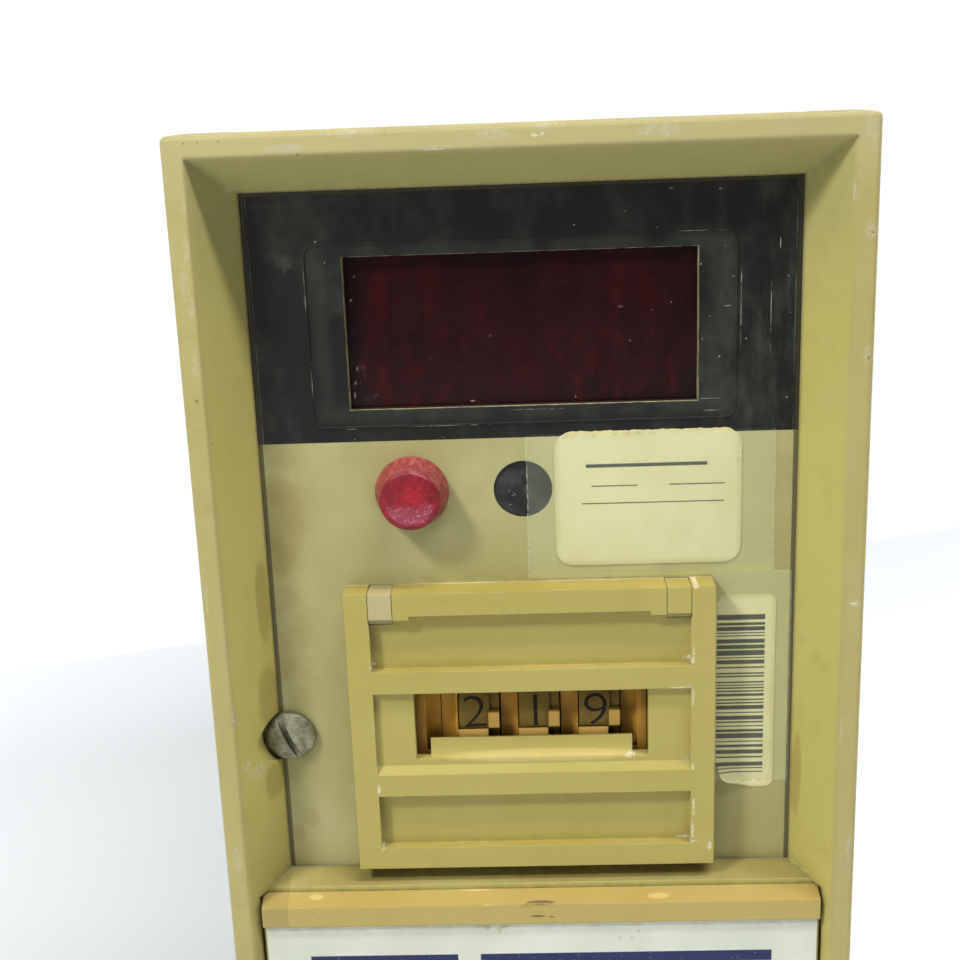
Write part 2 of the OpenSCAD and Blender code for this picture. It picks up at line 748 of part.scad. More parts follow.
// Moulded frame round the thumbwheels: three pockets, a wide slot and a ramp up to the wheels
module thumbwheel_frame() {
    left = frame_x - frame_w / 2;
    right = frame_x + frame_w / 2;
    pocket_x = [left + frame_bar, right - frame_bar];
    slot_x = [stack_x - slot_w / 2, stack_x + slot_w / 2];
    base = frame_z - frame_h / 2;
    notch_h = 2.5;
    ramp_d = 2.3;
    ramp_h = 3.2;
    side_y = frame_y[0] + side_d;
    notch_y = frame_y[0] + ramp_d * notch_h / ramp_h;
    ramp_x = [slot_x[0] + 2.5, slot_x[1] - 2.7];
    ramp_y = frame_y[0] + ramp_d + 0.1;
    color([0.70, 0.66, 0.38])
    difference() {
        union() {
            difference() {
                slab([left, right], frame_y, [base, frame_top]);
                slab(pocket_x, [frame_y[0] - eps, frame_floor],
                    [frame_top - frame_bar - pocket_h, frame_top - frame_bar]);
                slab(pocket_x, [frame_y[0] - eps, side_y], [mid_bottom, mid_top]);
                slab(pocket_x, [frame_y[0] - eps, frame_floor],
                    [base + frame_bar, base + frame_bar + pocket_h]);
                slab(slot_x, [frame_y[0], face_y + eps], [mid_bottom + notch_h, mid_top]);
                slab([left + 1.8, right - 1.8], [frame_floor + 1.3, face_y + eps],
                    [base + 1.8, frame_top - 1.8]);
            }
            prism_x(concat([[frame_y[0], mid_bottom]],
                bend([notch_y, mid_bottom + notch_h], [ramp_y, mid_bottom + ramp_h * 1.04],
                    [ramp_y, ramp_top], 7),
                [[frame_floor + 1.3, ramp_top], [frame_floor + 1.3, mid_bottom]]), ramp_x);
            prism_x([[frame_y[0], mid_bottom], [notch_y, mid_bottom + notch_h],
                [frame_floor + 1.3, mid_bottom + notch_h], [frame_floor + 1.3, mid_bottom]], slot_x);
            prism_x([[frame_y[0], mid_bottom], [side_y + eps, mid_bottom + ramp_h * (side_d + eps) / ramp_d],
                [side_y + eps, mid_bottom]], pocket_x);
            for (i = [0, 1])
                translate([0, 0, mid_bottom])
                    linear_extrude(notch_h)
                        polygon([[slot_x[i], side_y], [ramp_x[i], notch_y + 0.1],
                            [ramp_x[i], frame_floor + 1.3], [slot_x[i], frame_floor + 1.3]]);
            slab([clip_x[0] + clip_w, clip_x[0] + clip_w + 2.8], [frame_y[0], frame_floor + 0.5],
                [frame_top - frame_bar - 0.7, frame_top - 2]);
            slab([clip_x[1] - 2.8, clip_x[1]], [frame_y[0], frame_floor + 0.5],
                [frame_top - frame_bar - 0.7, frame_top - 2]);
        }
        rod_x(relief_r, [slot_x[0], slot_x[1]], wheel_y, wheel_z);
        for (x = clip_x) {
            slab([x - 0.1, x + clip_w + 0.1], [frame_y[0] - eps, frame_y[0] + 1.6],
                [frame_top - frame_bar - clip_reach, frame_top + eps]);
            slab([x - 0.1, x + clip_w + 0.1], [frame_y[0] - eps, face_y + eps],
                [frame_top - 1.7, frame_top + eps]);
        }
    }
}

// Spring clip: over the frame's top bar, through the panel and down behind it
module frame_clip(i) {
    y0 = frame_y[0];
    top = frame_top;
    bottom = top - frame_bar - clip_reach;
    color(i == 0 ? [0.80, 0.76, 0.60] : [0.71, 0.66, 0.40])
        prism_x([[y0, bottom + 1.1], [y0, top], [panel_back + 1.5, top - 0.3],
            [panel_back + 1.5, top - 6], [panel_back + 0.2, top - 5], [panel_back + 0.2, top - 1.6],
            [y0 + 1.5, top - 1.6], [y0 + 1.5, bottom], [y0 + 0.9, bottom]],
            [clip_x[i], clip_x[i] + clip_w]);
}

function module_x(i) = stack_x - stack_w / 2 + i * wheel_pitch;

// Thumbwheel: a digit drum, a thumb rim with a lug for each digit, and a bore for its spindle
module wheel(i) {
    x0 = module_x(i) + scoop_w;
    rim_x = [x0 + drum_w, module_x(i) + wheel_pitch - 2 * module_gap];
    color([0.72, 0.58, 0.30])
    difference() {
        union() {
            rod_x(drum_r, [x0 + 0.1, rim_x[0] + 0.2], wheel_y, wheel_z);
            along_x(rim_x)
                translate([wheel_y, wheel_z]) {
                    circle(r = drum_r - 0.5);
                    for (k = [0 : digits - 1])
                        rotate(k * 360 / digits + wheel_turn)
                            polygon([[1.5 - drum_r, -1.9], [0.4 - lug_r, -1.5], [-lug_r, -1.1],
                                [-lug_r, 1.1], [0.4 - lug_r, 1.5], [1.5 - drum_r, 1.9]]);
                }
        }
        rod_x(bore_r + run_gap, [x0 - 1, rim_x[1] + 1], wheel_y, wheel_z);
    }
}

// One switch body: a moulded box with a round well for its wheel, and a spindle in the well
module switch_body(i) {
    x = [module_x(i), module_x(i) + wheel_pitch - module_gap];
    well_x = x[0] + scoop_w - 0.1;
    color([0.56, 0.42, 0.20])
    difference() {
        union() {
            difference() {
                slab(x, body_y, [wheel_z - switch_h / 2, wheel_z + switch_h / 2]);
                rod_x(drum_r + 0.2, [well_x, x[0] + scoop_w + drum_w], wheel_y, wheel_z);
                rod_x(lug_r + 0.5, [x[0] + scoop_w + drum_w - 0.1, x[1] + eps], wheel_y, wheel_z);
                slab([well_x, x[0] + scoop_w + drum_w], [body_y[0] - eps, wheel_y],
                    [wheel_z - digit_ledge, wheel_z + 6]);
                slab([x[0] + scoop_w + drum_w - 0.1, x[1] + eps], [body_y[0] - eps, wheel_y],
                    [wheel_z - 7, wheel_z + 7]);
                translate([i == 0 ? x[0] : x[0] + 1, body_y[0] - 0.6, wheel_z - 7])
                    cylinder(r = i == 0 ? 2.6 : 2.1, h = 14);
            }
            rod_x(bore_r, [well_x - eps, x[1] - module_gap], wheel_y, wheel_z);
        }
        for (up = [-1, 1])
            rod_x(rod_r + 0.1, [x[0] - eps, x[1] + eps], rod_y, wheel_z + up * rod_up);
        slab([x[0] + 3.9, x[0] + 3.9 + board_t + 0.2], [body_y[1] - 3, body_y[1] + eps],
            [wheel_z - 9.1, wheel_z + 9.1]);
    }
}

// End piece of the switch stack, with a scooped front
module switch_end(side) {
    inner = side < 0 ? module_x(0) - module_gap : module_x(wheel_count);
    x = side < 0 ? [inner - end_w, inner] : [inner, inner + end_w];
    color([0.50, 0.37, 0.18])
    difference() {
        slab(x, [body_y[0], body_y[1]], [wheel_z - switch_h / 2, wheel_z + switch_h / 2]);
        translate([side < 0 ? x[1] : (x[0] + x[1]) / 2 - 2, body_y[0] - 0.6, wheel_z - 7])
            cylinder(r = 2.6, h = 14);
        for (up = [-1, 1])
            rod_x(rod_r + 0.1, [x[0] - eps, x[1] + eps], rod_y, wheel_z + up * rod_up);
    }
}

// Tie rods through the stack, with a round nut at each end
module switch_rods() {
    ends = [stack_x - slot_w / 2 - 1.4, stack_x + slot_w / 2 + 1.4];
    color([0.74, 0.74, 0.70])
    for (up = [-1, 1]) {
        rod_x(rod_r, ends, rod_y, wheel_z + up * rod_up);
        rod_x(2.6, [ends[0], stack_x - slot_w / 2], rod_y, wheel_z + up * rod_up);
        rod_x(2.6, [stack_x + slot_w / 2, ends[1]], rod_y, wheel_z + up * rod_up);
    }
}

module switch_boards() {
    color([0.16, 0.36, 0.20])
    for (i = [0 : wheel_count - 1])
        slab([module_x(i) + 4, module_x(i) + 4 + board_t], [body_y[1] - 2.9, body_y[1] + 9],
            [wheel_z - 9, wheel_z + 9]);
}

// Drop-down door: a flat plate with a sloping top lip, a bed for its card and a round foot
module door() {
    half = door_w / 2;
    color([0.71, 0.64, 0.38])
    difference() {
        union() {
            prism_x([[door_y[0], hinge_z], [door_y[0], door_top], [door_y[1], door_top + lip_rise],
                [door_y[1], hinge_z]], [-half, half]);
            rod_x(door_t / 2, [-half, half], hinge_y, hinge_z);
        }
        slab([-half - eps, half + eps], [door_y[0] - eps, door_y[0] + card_inset + card_t], card_z);
        translate([fittings_x, door_y[0] - 7.4, door_top - 0.8])
            cylinder(r = 8, h = 4);
        for (side = [-1, 1])
            rod_x(pin_r + run_gap, [side * half - pin_l - 1, side * half + pin_l + 1],
                hinge_y, hinge_z);
    }
}

module door_card() {
    color([0.84, 0.86, 0.80])
        slab([-door_w / 2 + 0.4, door_w / 2 - 0.4],
            [door_y[0] + card_inset, door_y[0] + card_inset + card_t],
            [card_z[0] + 0.1, card_z[1] - 0.1]);
}

module door_pins() {
    color([0.74, 0.74, 0.70])
    for (side = [-1, 1])
        rod_x(pin_r, side > 0 ? [door_w / 2 - pin_l, door_open_w / 2 + pin_l]
            : [-door_open_w / 2 - pin_l, pin_l - door_w / 2], hinge_y, hinge_z);
}

function trimmer_x(i) = (i - (trimmers - 1) / 2) * trimmer_pitch;

// Panel behind the door, with a hole for each trimmer
module control_panel() {
    color([0.80, 0.78, 0.62])
    difference() {
        slab([-plate_w / 2, plate_w / 2], [panel_y, panel_back], [-plate_top, plate_split - 0.4]);
        for (i = [0 : trimmers - 1])
            rod_y(knob_r + fit, [panel_y - eps, panel_back + eps], trimmer_x(i), trimmer_z);
    }
}

// Trimmer knob: a fluted, slotted knob on its shaft
module trimmer(i) {
    flutes = 18;
    x = trimmer_x(i);
    knob_y = [panel_y - 3.4, panel_back + 3];
    color([0.16, 0.16, 0.16])
    difference() {
        union() {
            rod_y(knob_r, knob_y, x, trimmer_z);
            rod_y(shaft_r, [knob_y[1] - eps, pot_y[1] - 3], x, trimmer_z);
        }
        for (k = [0 : flutes - 1])
            translate([x, 0, trimmer_z])
                rotate([0, k * 360 / flutes, 0])
                    rod_y(0.25, [knob_y[0] - eps, panel_y - 0.8], knob_r, 0);
        slab([x - knob_r, x + knob_r], [knob_y[0] - eps, knob_y[0] + 1.2],
            [trimmer_z - 0.5, trimmer_z + 0.5]);
    }
}

module trimmer_bodies() {
    color([0.18, 0.28, 0.50])
    for (i = [0 : trimmers - 1])
        difference() {
            slab([trimmer_x(i) - pot_size / 2, trimmer_x(i) + pot_size / 2], pot_y,
                [trimmer_z - pot_size / 2, trimmer_z + pot_size / 2]);
            rod_y(shaft_r + run_gap, [pot_y[0] - eps, pot_y[1] - 2.5], trimmer_x(i), trimmer_z);
        }
}

module trimmer_board() {
    color([0.16, 0.36, 0.20])
        slab([-trimmer_board_w / 2, trimmer_board_w / 2], trimmer_board_y,
            [trimmer_z - 9, trimmer_z + 9]);
}

// Folded tray at the bottom of the case: a floor, two side folds and a front fold on the panel
module chassis_tray() {
    floor_z = [-tray_z, sheet_t - tray_z];
    color([0.66, 0.67, 0.64])
    difference() {
        union() {
            slab([-tray_w / 2, tray_w / 2], tray_y, floor_z);
            slab([-tray_w / 2, tray_w / 2], [tray_y[0], tray_y[0] + sheet_t],
                [floor_z[0], floor_z[0] + tray_fold]);
            for (side = [-1, 1])
                slab([side * tray_w / 2 - (side > 0 ? sheet_t : 0),
                    side * tray_w / 2 + (side > 0 ? 0 : sheet_t)],
                    [tray_y[0] + 12, tray_y[1]], [floor_z[0], floor_z[0] + tray_fold]);
        }
        for (i = [0 : 4])
            translate([0, boards_y[0] + 12 + i * 16, -tray_z - eps])
                cylinder(r = 4, h = sheet_t + 2 * eps);
    }
}

module chassis_base() {
    chassis_tray();
}

module chassis_top() {
    mirror([0, 0, 1])
        chassis_tray();
}

// Board between the trays, with a tongue for its edge connector
module board(x) {
    color([0.16, 0.36, 0.20])
    union() {
        slab([x - board_t / 2, x + board_t / 2], boards_y, [-board_top, board_top]);
        slab([x - board_t / 2, x + board_t / 2], [boards_y[1] - eps, boards_y[1] + tongue_l],
            [-tongue_h / 2, tongue_h / 2]);
    }
}

module main_board() {
    board(boards_x);
}

module power_board() {
    board(-boards_x);
}

// Chips and resistors on the main board
module main_board_parts() {
    color([0.14, 0.14, 0.15])
    for (row = [0 : 2], col = [0 : 2])
        slab([board_face, board_face + 4], [boards_y[0] + 8 + col * 26, boards_y[0] + 27 + col * 26],
            [board_top * (row * 0.27 - 0.37), board_top * (row * 0.27 - 0.37) + 7.6]);
    color([0.62, 0.48, 0.32])
    for (k = [0 : 7])
        translate([board_face + 1.2, boards_y[0] + 10 + k * 9, board_top - 30])
            cylinder(r = 1.2, h = 7);
}

// Laminated core: a block with two windows either side of its middle leg
module transformer_core() {
    p = core_at;
    color([0.35, 0.36, 0.38])
    difference() {
        slab([p[0], p[0] + core[0]], [p[1], p[1] + core[1]], [p[2], p[2] + core[2]]);
        for (z = [core[2] * 0.15, core[2] * 0.62])
            slab([p[0] - eps, p[0] + core[0] + eps], [p[1] + core[1] * 0.15, p[1] + core[1] * 0.85],
                [p[2] + z, p[2] + z + core[2] * 0.23]);
    }
}

module transformer_coil() {
    p = core_at;
    leg = [core[2] * 0.38, core[2] * 0.62];
    color([0.72, 0.62, 0.30])
    difference() {
        slab([p[0] - 4, p[0] + core[0] + 4], [p[1] + core[1] * 0.17, p[1] + core[1] * 0.83],
            [p[2] + core[2] * 0.17, p[2] + core[2] * 0.83]);
        slab([p[0] - 0.1, p[0] + core[0] + 0.1], [p[1], p[1] + core[1]],
            [p[2] + leg[0] - 0.1, p[2] + leg[1] + 0.1]);
    }
}

module relay() {
    color([0.80, 0.80, 0.78])
    translate([-board_face, relay_at[0], relay_at[1]])
        rotate([0, -90, 0])
            linear_extrude(relay_l)
                round_rect(relay_h - 4, relay_h, 1.5);
}

// Two smoothing capacitors, each with a groove round its can
module capacitors() {
    groove = 0.5;
    color([0.20, 0.30, 0.55])
    for (k = [0, 1])
        translate([-board_face, boards_y[0] + 2 * can_r + k * (2 * can_r + 6), sink_z[0] - 20])
            rotate([0, -90, 0])
                rotate_extrude()
                    polygon([[0, 0], [can_r, 0], [can_r, 2], [can_r - groove, 2.6], [can_r, 3.2],
                        [can_r, can_l - 0.4], [can_r - 0.4, can_l], [0, can_l]]);
}

module heat_sink() {
    fin_t = 1.7;
    pitch = (sink_y[1] - sink_y[0] - fin_t) / (fins - 1);
    color([0.15, 0.15, 0.16])
    union() {
        slab([-board_face - 3, -board_face], sink_y, sink_z);
        for (k = [0 : fins - 1])
            slab([-board_face - sink_l, -board_face - 2],
                [sink_y[0] + k * pitch, sink_y[0] + k * pitch + fin_t], sink_z);
    }
}

bezel();
case_sleeve();
rear_cover();
rear_screws();
terminal_block();
terminal_screws();
terminal_plates();
edge_connectors();
bracket_left();
bracket_right();
jack_screws();
face_panel();
face_film();
display_filter();
display_board();
display_digit(0);  // display_digit_1
display_digit(1);  // display_digit_2
display_digit(2);  // display_digit_3
display_digit(3);  // display_digit_4
board_posts();
lamp_lens();
lamp_holder();
neon_bulb();
spare_window();
retaining_screw();
screw_anchor();
thumbwheel_frame();
frame_clip(0);  // frame_clip_left
frame_clip(1);  // frame_clip_right
wheel(0);  // wheel_hundreds
wheel(1);  // wheel_tens
wheel(2);  // wheel_units
switch_body(0);  // switch_body_hundreds
switch_body(1);  // switch_body_tens
switch_body(2);  // switch_body_units
switch_end(-1);  // switch_end_left
switch_end(1);  // switch_end_right
switch_rods();
switch_boards();
door();
door_card();
door_pins();
control_panel();
trimmer(0);  // trimmer_1
trimmer(1);  // trimmer_2
trimmer(2);  // trimmer_3
trimmer_bodies();
trimmer_board();
chassis_base();
chassis_top();
main_board();
main_board_parts();
power_board();
transformer_core();
transformer_coil();
relay();
capacitors();
heat_sink();
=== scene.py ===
import functools
import math
import random

import bpy
from mathutils import Matrix, Vector


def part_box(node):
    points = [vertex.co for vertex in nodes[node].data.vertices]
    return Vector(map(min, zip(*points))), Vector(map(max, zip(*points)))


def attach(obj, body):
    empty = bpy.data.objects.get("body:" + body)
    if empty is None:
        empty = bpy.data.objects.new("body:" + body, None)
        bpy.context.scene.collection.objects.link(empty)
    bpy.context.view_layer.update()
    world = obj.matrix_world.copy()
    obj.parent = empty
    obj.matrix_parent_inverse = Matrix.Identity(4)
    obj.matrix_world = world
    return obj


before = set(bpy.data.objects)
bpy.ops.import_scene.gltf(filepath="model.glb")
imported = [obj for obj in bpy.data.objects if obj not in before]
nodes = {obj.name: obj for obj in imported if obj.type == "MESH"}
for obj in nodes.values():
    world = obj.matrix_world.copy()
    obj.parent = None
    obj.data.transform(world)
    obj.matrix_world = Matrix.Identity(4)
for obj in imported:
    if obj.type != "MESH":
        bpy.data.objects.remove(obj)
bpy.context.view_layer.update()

# Sizes here are in millimetres, as in the part's source, and MM turns them into metres.
MM = 0.001
FACE_Y = -4.0                            # front of the printed face
RIM_Y = -14.0                            # front of the bezel's rim
VIEW_HALF_W = 44.4                       # the face that shows between the bezel's slopes
VIEW_TOP = 82.4
BLACK_BOTTOM = 41.5                      # where the black print ends and the khaki begins
# Boxes on the face, as (left, right, bottom, top)
WINDOW = (-28.9, 28.2, 46.9, 72.0)
RIDGE = (-34.8, 34.8, 44.2, 74.6)        # the ridge round the window
UPPER_LABEL = (4.5, 35.5, 19.0, 42.2)
LOWER_LABEL = (31.0, 41.6, -23.0, 13.0)
UPPER_TAPE = (-0.2, 41.0, 16.9, 42.0)
LOWER_TAPE = (30.95, 44.1, -21.8, 17.2)
PAPER, TAPE = 0.1, 0.05                  # how thick they are
LAMP = (-19.4, 32.6)                     # centre of the lens in X and Z
WHEEL_AXIS = (4.0, -6.75)                # in Y and Z
DRUM_R = 10.0
DIGIT_H = 5.9
DIGIT_STEP = math.tau / 10
WHEELS = {"hundreds": (-10.25, 2), "tens": (0.25, 1), "units": (10.65, 9)}  # X, digit shown
TRIMMERS = (-24.0, 0.0, 24.0)
TRIMMER_Z = -62.2
TICKS = 12                               # to a full turn round each trimmer


class Value:
    """A socket of a material. Sums, products and powers of values add their Math nodes."""

    def __init__(self, finish, socket):
        self.finish = finish
        self.socket = socket

    def maths(self, operation, *operands):
        return self.finish.node("ShaderNodeMath", {"operation": operation},
                                dict(enumerate(operands)))

    def __add__(self, other):
        return self.maths("ADD", self, other)

    def __sub__(self, other):
        return self.maths("SUBTRACT", self, other)

    def __rsub__(self, other):
        return self.maths("SUBTRACT", other, self)

    def __mul__(self, other):
        return self.maths("MULTIPLY", self, other)

    def __truediv__(self, other):
        return self.maths("DIVIDE", self, other)

    def __pow__(self, other):
        return self.maths("POWER", self, other)

    def __abs__(self):
        return self.maths("ABSOLUTE", self)

    __radd__ = __add__
    __rmul__ = __mul__

    def least(self, other):
        return self.maths("MINIMUM", self, other)

    def most(self, other):
        return self.maths("MAXIMUM", self, other)

    def rise(self, low, high):
        """0 below low and 1 above high, with a smooth step between them."""
        return self.finish.node("ShaderNodeMapRange", {"interpolation_type": "SMOOTHSTEP"},
                                {"Value": self, "From Min": low, "From Max": high})

    def fall(self, low, high):
        """1 below low and 0 above high."""
        return 1 - self.rise(low, high)

    def between(self, low, high, soft):
        """1 between two values, with edges of the given softness."""
        return self.rise(low - soft, low + soft) * self.fall(high - soft, high + soft)


def tone(colour):
    """A colour as seen on a screen, from 0 to 255, as the linear one that a shader takes."""
    def linear(c):
        c /= 255
        return c / 12.92 if c <= 0.04045 else ((c + 0.055) / 1.055) ** 2.4
    return colour if isinstance(colour, Value) else (*map(linear, colour), 1.0)


def strongest(marks):
    """The strongest of several marks at each place."""
    return functools.reduce(Value.most, marks)


class Finish:
    """One material: its nodes, places on the piece in millimetres, its colour and its shader."""

    def __init__(self, name):
        self.material = bpy.data.materials.new(name)
        self.material.use_nodes = True
        self.tree = self.material.node_tree
        self.tree.nodes.clear()
        metres = self.node("ShaderNodeTexCoord", output="Object")
        self.place = self.node("ShaderNodeVectorMath", {"operation": "SCALE"},
                               {0: metres, "Scale": 1 / MM})
        self.x, self.y, self.z = (
            self.node("ShaderNodeSeparateXYZ", inputs={0: self.place}, output=i) for i in range(3))
        self.normal = self.node("ShaderNodeNewGeometry", output="True Normal")

    def node(self, kind, settings=None, inputs=None, output=0):
        """Any node: its settings first, then the values or links of its sockets."""
        node = self.tree.nodes.new(kind)
        for name, value in (settings or {}).items():
            setattr(node, name, value)
        for key, value in (inputs or {}).items():
            if isinstance(value, Value):
                self.tree.links.new(value.socket, node.inputs[key])
            else:
                node.inputs[key].default_value = value
        return Value(self, node.outputs[output])

    def facing(self, axis):
        """The part of the surface's own direction that lies along X, Y or Z."""
        return self.node("ShaderNodeSeparateXYZ", inputs={0: self.normal}, output="XYZ".index(axis))

    def moved(self, stretch=(1, 1, 1), shift=0.0):
        """Places on the piece, stretched and shifted."""
        return self.node("ShaderNodeMapping", inputs={
            "Vector": self.place, "Scale": stretch, "Location": (shift, shift * 0.7, shift * 1.3)})

    def noise(self, size, detail=3.0, rough=0.55, stretch=(1, 1, 1), shift=0.0):
        """Cloudy noise about half way between 0 and 1, whose features are size millimetres."""
        return self.node("ShaderNodeTexNoise", inputs={
            "Vector": self.moved(stretch, shift), "Scale": 1 / size, "Detail": detail,
            "Roughness": rough})

    def specks(self, spacing, radius, share, shift=0.0):
        """Small round specks: one in each cell of that spacing, in a share of the cells."""
        sockets = {"Vector": self.moved(shift=shift), "Scale": 1 / spacing}
        far = self.node("ShaderNodeTexVoronoi", inputs=sockets)
        chance = self.node("ShaderNodeTexVoronoi", inputs=sockets, output="Color")
        kept = (chance * 1.0).rise(1 - share, 1 - share + 0.02)
        return far.fall(radius / spacing * 0.6, radius / spacing) * kept

    def spots(self, places, ragged=0.35, grain=1.6, size=1.0):
        """Marks at known places: (x, z, half width, half height), with ragged edges."""
        rough = (self.noise(grain, 4, 0.65) - 0.5) * (4 * ragged)
        return strongest(
            (((self.x - x) / (half_w * size)) ** 2 + ((self.z - z) / (half_h * size)) ** 2
             + rough).fall(0.35, 1.1) for x, z, half_w, half_h in places)

    def edges(self, radius, low=0.015, high=0.12):
        """1 near the piece's edges and corners, and 0 on its flats."""
        turn = self.node("ShaderNodeVectorMath", {"operation": "DOT_PRODUCT"},
                         {0: self.rounded(radius), 1: self.normal}, output="Value")
        return (1 - turn).rise(low, high)

    def creases(self, reach):
        """1 deep in corners and gaps, and 0 in the open, from ambient occlusion: colour laid with
        it is painted shade, and soiling only where noise breaks it up.
        """
        open_part = self.node("ShaderNodeAmbientOcclusion", {"samples": 6},
                              {"Distance": reach * MM}, output="AO")
        return open_part.fall(0.3, 0.95)

    def mix(self, share, first, second):
        """A colour between two colours."""
        return self.node("ShaderNodeMix", {"data_type": "RGBA"},
                         {0: share, 6: tone(first), 7: tone(second)}, output=2)

    def paint(self, share, shade):
        """Lays a colour over what the piece has so far, as thick as share says."""
        self.colour = self.mix(share, self.colour, shade)

    def rounded(self, radius):
        """The direction of a surface whose sharp edges are rounded."""
        return self.node("ShaderNodeBevel", {"samples": 4}, {"Radius": radius * MM})

    def relief(self, height, depth, radius=None):
        """A Bump node: height from 0 to 1 over a depth in millimetres, on rounded edges."""
        sockets = {"Height": height, "Distance": depth * MM, "Strength": 1.0}
        if radius is not None:
            sockets["Normal"] = self.rounded(radius)
        return self.node("ShaderNodeBump", inputs=sockets)

    def shade(self, **sockets):
        """Adds the principled shader and the output, and returns the material."""
        names = {"rough": "Roughness", "metal": "Metallic", "alpha": "Alpha", "normal": "Normal",
                 "glow": "Emission Color", "glow_strength": "Emission Strength",
                 "depth": "Subsurface Weight", "depth_scale": "Subsurface Scale",
                 "specular": "Specular IOR Level"}
        shader = self.node("ShaderNodeBsdfPrincipled", inputs={
            "Base Color": tone(self.colour),
            **{names[key]: value for key, value in sockets.items()}})
        out = self.tree.nodes.new("ShaderNodeOutputMaterial")
        self.tree.links.new(shader.socket, out.inputs["Surface"])
        return self.material


def distance(across, up):
    """How far a place is from a point, from how far it is across and up."""
    return (across * across + up * up) ** 0.5


def box_distance(f, box):
    """How far a place is outside an upright box in X and Z, in millimetres, and below 0 inside."""
    left, right, bottom, top = box
    across = abs(f.x - (left + right) / 2) - (right - left) / 2
    up = abs(f.z - (bottom + top) / 2) - (top - bottom) / 2
    return across.most(up)


# Moulded plastic of the bezel, the thumbwheel frame, the clips and the door -----------------------

# Pale rubs and scuffs on the rim, as (x, z, half width, half height)
RIM_RUBS = [
    (-24.3, 91.4, 5.0, 0.7), (-35.4, 89.6, 4.2, 0.7), (-12.8, 88.9, 3.8, 0.35),
    (-51.0, 81.9, 0.5, 2.2), (-51.3, 74.8, 0.6, 3.0), (-52.0, 69.8, 0.8, 3.6),
    (-51.4, 65.8, 0.7, 2.0), (-51.5, 57.6, 0.8, 2.6), (4.9, 91.6, 2.6, 0.7),
    (21.5, 90.4, 4.5, 1.1), (-4.0, 90.6, 3.0, 1.0), (52.9, 74.6, 1.2, 1.6),
    (53.1, 55.5, 1.0, 1.6), (52.7, 89.6, 1.6, 2.2), (50.3, 80.6, 0.3, 3.0),
    (54.0, 48.4, 0.5, 1.6), (53.9, 70.0, 0.5, 1.6), (52.3, 14.6, 1.4, 0.8),
    (-50.5, -3.3, 0.5, 2.6), (-53.2, 20.0, 0.5, 5.0), (51.0, -8.0, 0.4, 3.0),
    (-52.0, -30.0, 0.8, 3.0), (53.0, -30.0, 0.5, 3.0)]
RIM_SCRATCHES = [(-12.8, 88.75, 3.4, 0.16), (50.2, 80.4, 0.2, 2.6), (2.4, 90.3, 0.9, 0.4),
                 (3.6, 90.5, 0.5, 0.5), (-50.6, -3.4, 0.3, 2.0), (52.2, 14.7, 1.2, 0.35)]
RIM_PITS = [(-50.3, 90.8, 0.35, 0.3), (-48.2, 90.9, 0.3, 0.25), (-45.0, 90.9, 0.35, 0.25),
            (-28.8, 88.2, 0.3, 0.25), (-33.2, 88.6, 0.35, 0.4), (-51.8, 51.2, 0.5, 0.7),
            (-50.1, 44.0, 0.3, 0.4), (48.5, 69.4, 0.3, 0.4), (53.1, 74.2, 0.4, 0.4),
            (53.2, 55.0, 0.3, 0.7), (0.1, -40.6, 1.9, 0.35), (-20.0, 91.0, 0.3, 0.2)]
# Whitish dust in the pockets of the thumbwheel frame
FRAME_MARKS = [(26.0, -30.6, 2.2, 0.3), (27.0, -28.5, 0.3, 1.8), (27.2, -24.0, 0.2, 2.0),
               (30.0, -31.5, 0.5, 0.8), (-27.2, -31.0, 0.3, 0.7), (-27.3, -19.6, 0.3, 1.2),
               (26.7, 3.2, 0.7, 0.5), (27.1, 4.5, 0.2, 1.6), (-27.2, 3.3, 0.5, 0.3),
               (27.0, -3.4, 0.3, 1.6), (24.8, -1.6, 2.0, 0.2), (27.0, -16.4, 0.3, 0.7),
               (16.4, -14.4, 1.0, 0.5), (24.0, 16.0, 1.0, 0.25), (27.5, 16.3, 0.5, 0.25)]
# Worn and dirty places on the door's lip
LIP_MARKS = [(-39.3, -39.4, 1.4, 0.25), (-11.0, -39.0, 3.2, 0.2), (-9.1, -40.3, 0.6, 0.2),
             (20.9, -39.7, 2.2, 0.25), (-38.6, -41.0, 0.3, 0.3)]
LIP_DIRT = [(0.3, -40.05, 2.8, 0.16), (-0.3, -42.5, 1.5, 0.22), (2.2, -42.7, 0.6, 0.16)]
# A painted highlight: the bright band along the frame's ramp
FRAME_RAMP = [(1.6, -14.3, 18.0, 1.1)]
# Brown stains and pale dust on the bezel's slopes
SLOPE_STAINS = [(-45.6, 14.0, 1.0, 9.0), (-45.8, -3.0, 1.6, 7.0), (-46.0, -19.0, 1.4, 4.0),
                (45.4, -20.0, 0.8, 9.0)]
SLOPE_RUBS = [(-48.1, -15.0, 1.4, 1.6), (-49.4, -13.2, 0.7, 1.2), (-27.2, -2.3, 0.4, 0.6),
              (-27.3, 2.9, 0.5, 0.5), (-27.4, -15.6, 0.5, 0.5), (22.6, 17.0, 1.2, 0.5),
              (26.4, 17.0, 1.0, 0.6), (25.9, 3.2, 0.7, 0.6), (26.4, -1.8, 0.4, 1.0),
              (26.0, -15.2, 0.6, 0.7), (18.6, -13.8, 1.4, 0.5), (-45.8, 83.2, 0.5, 0.8)]


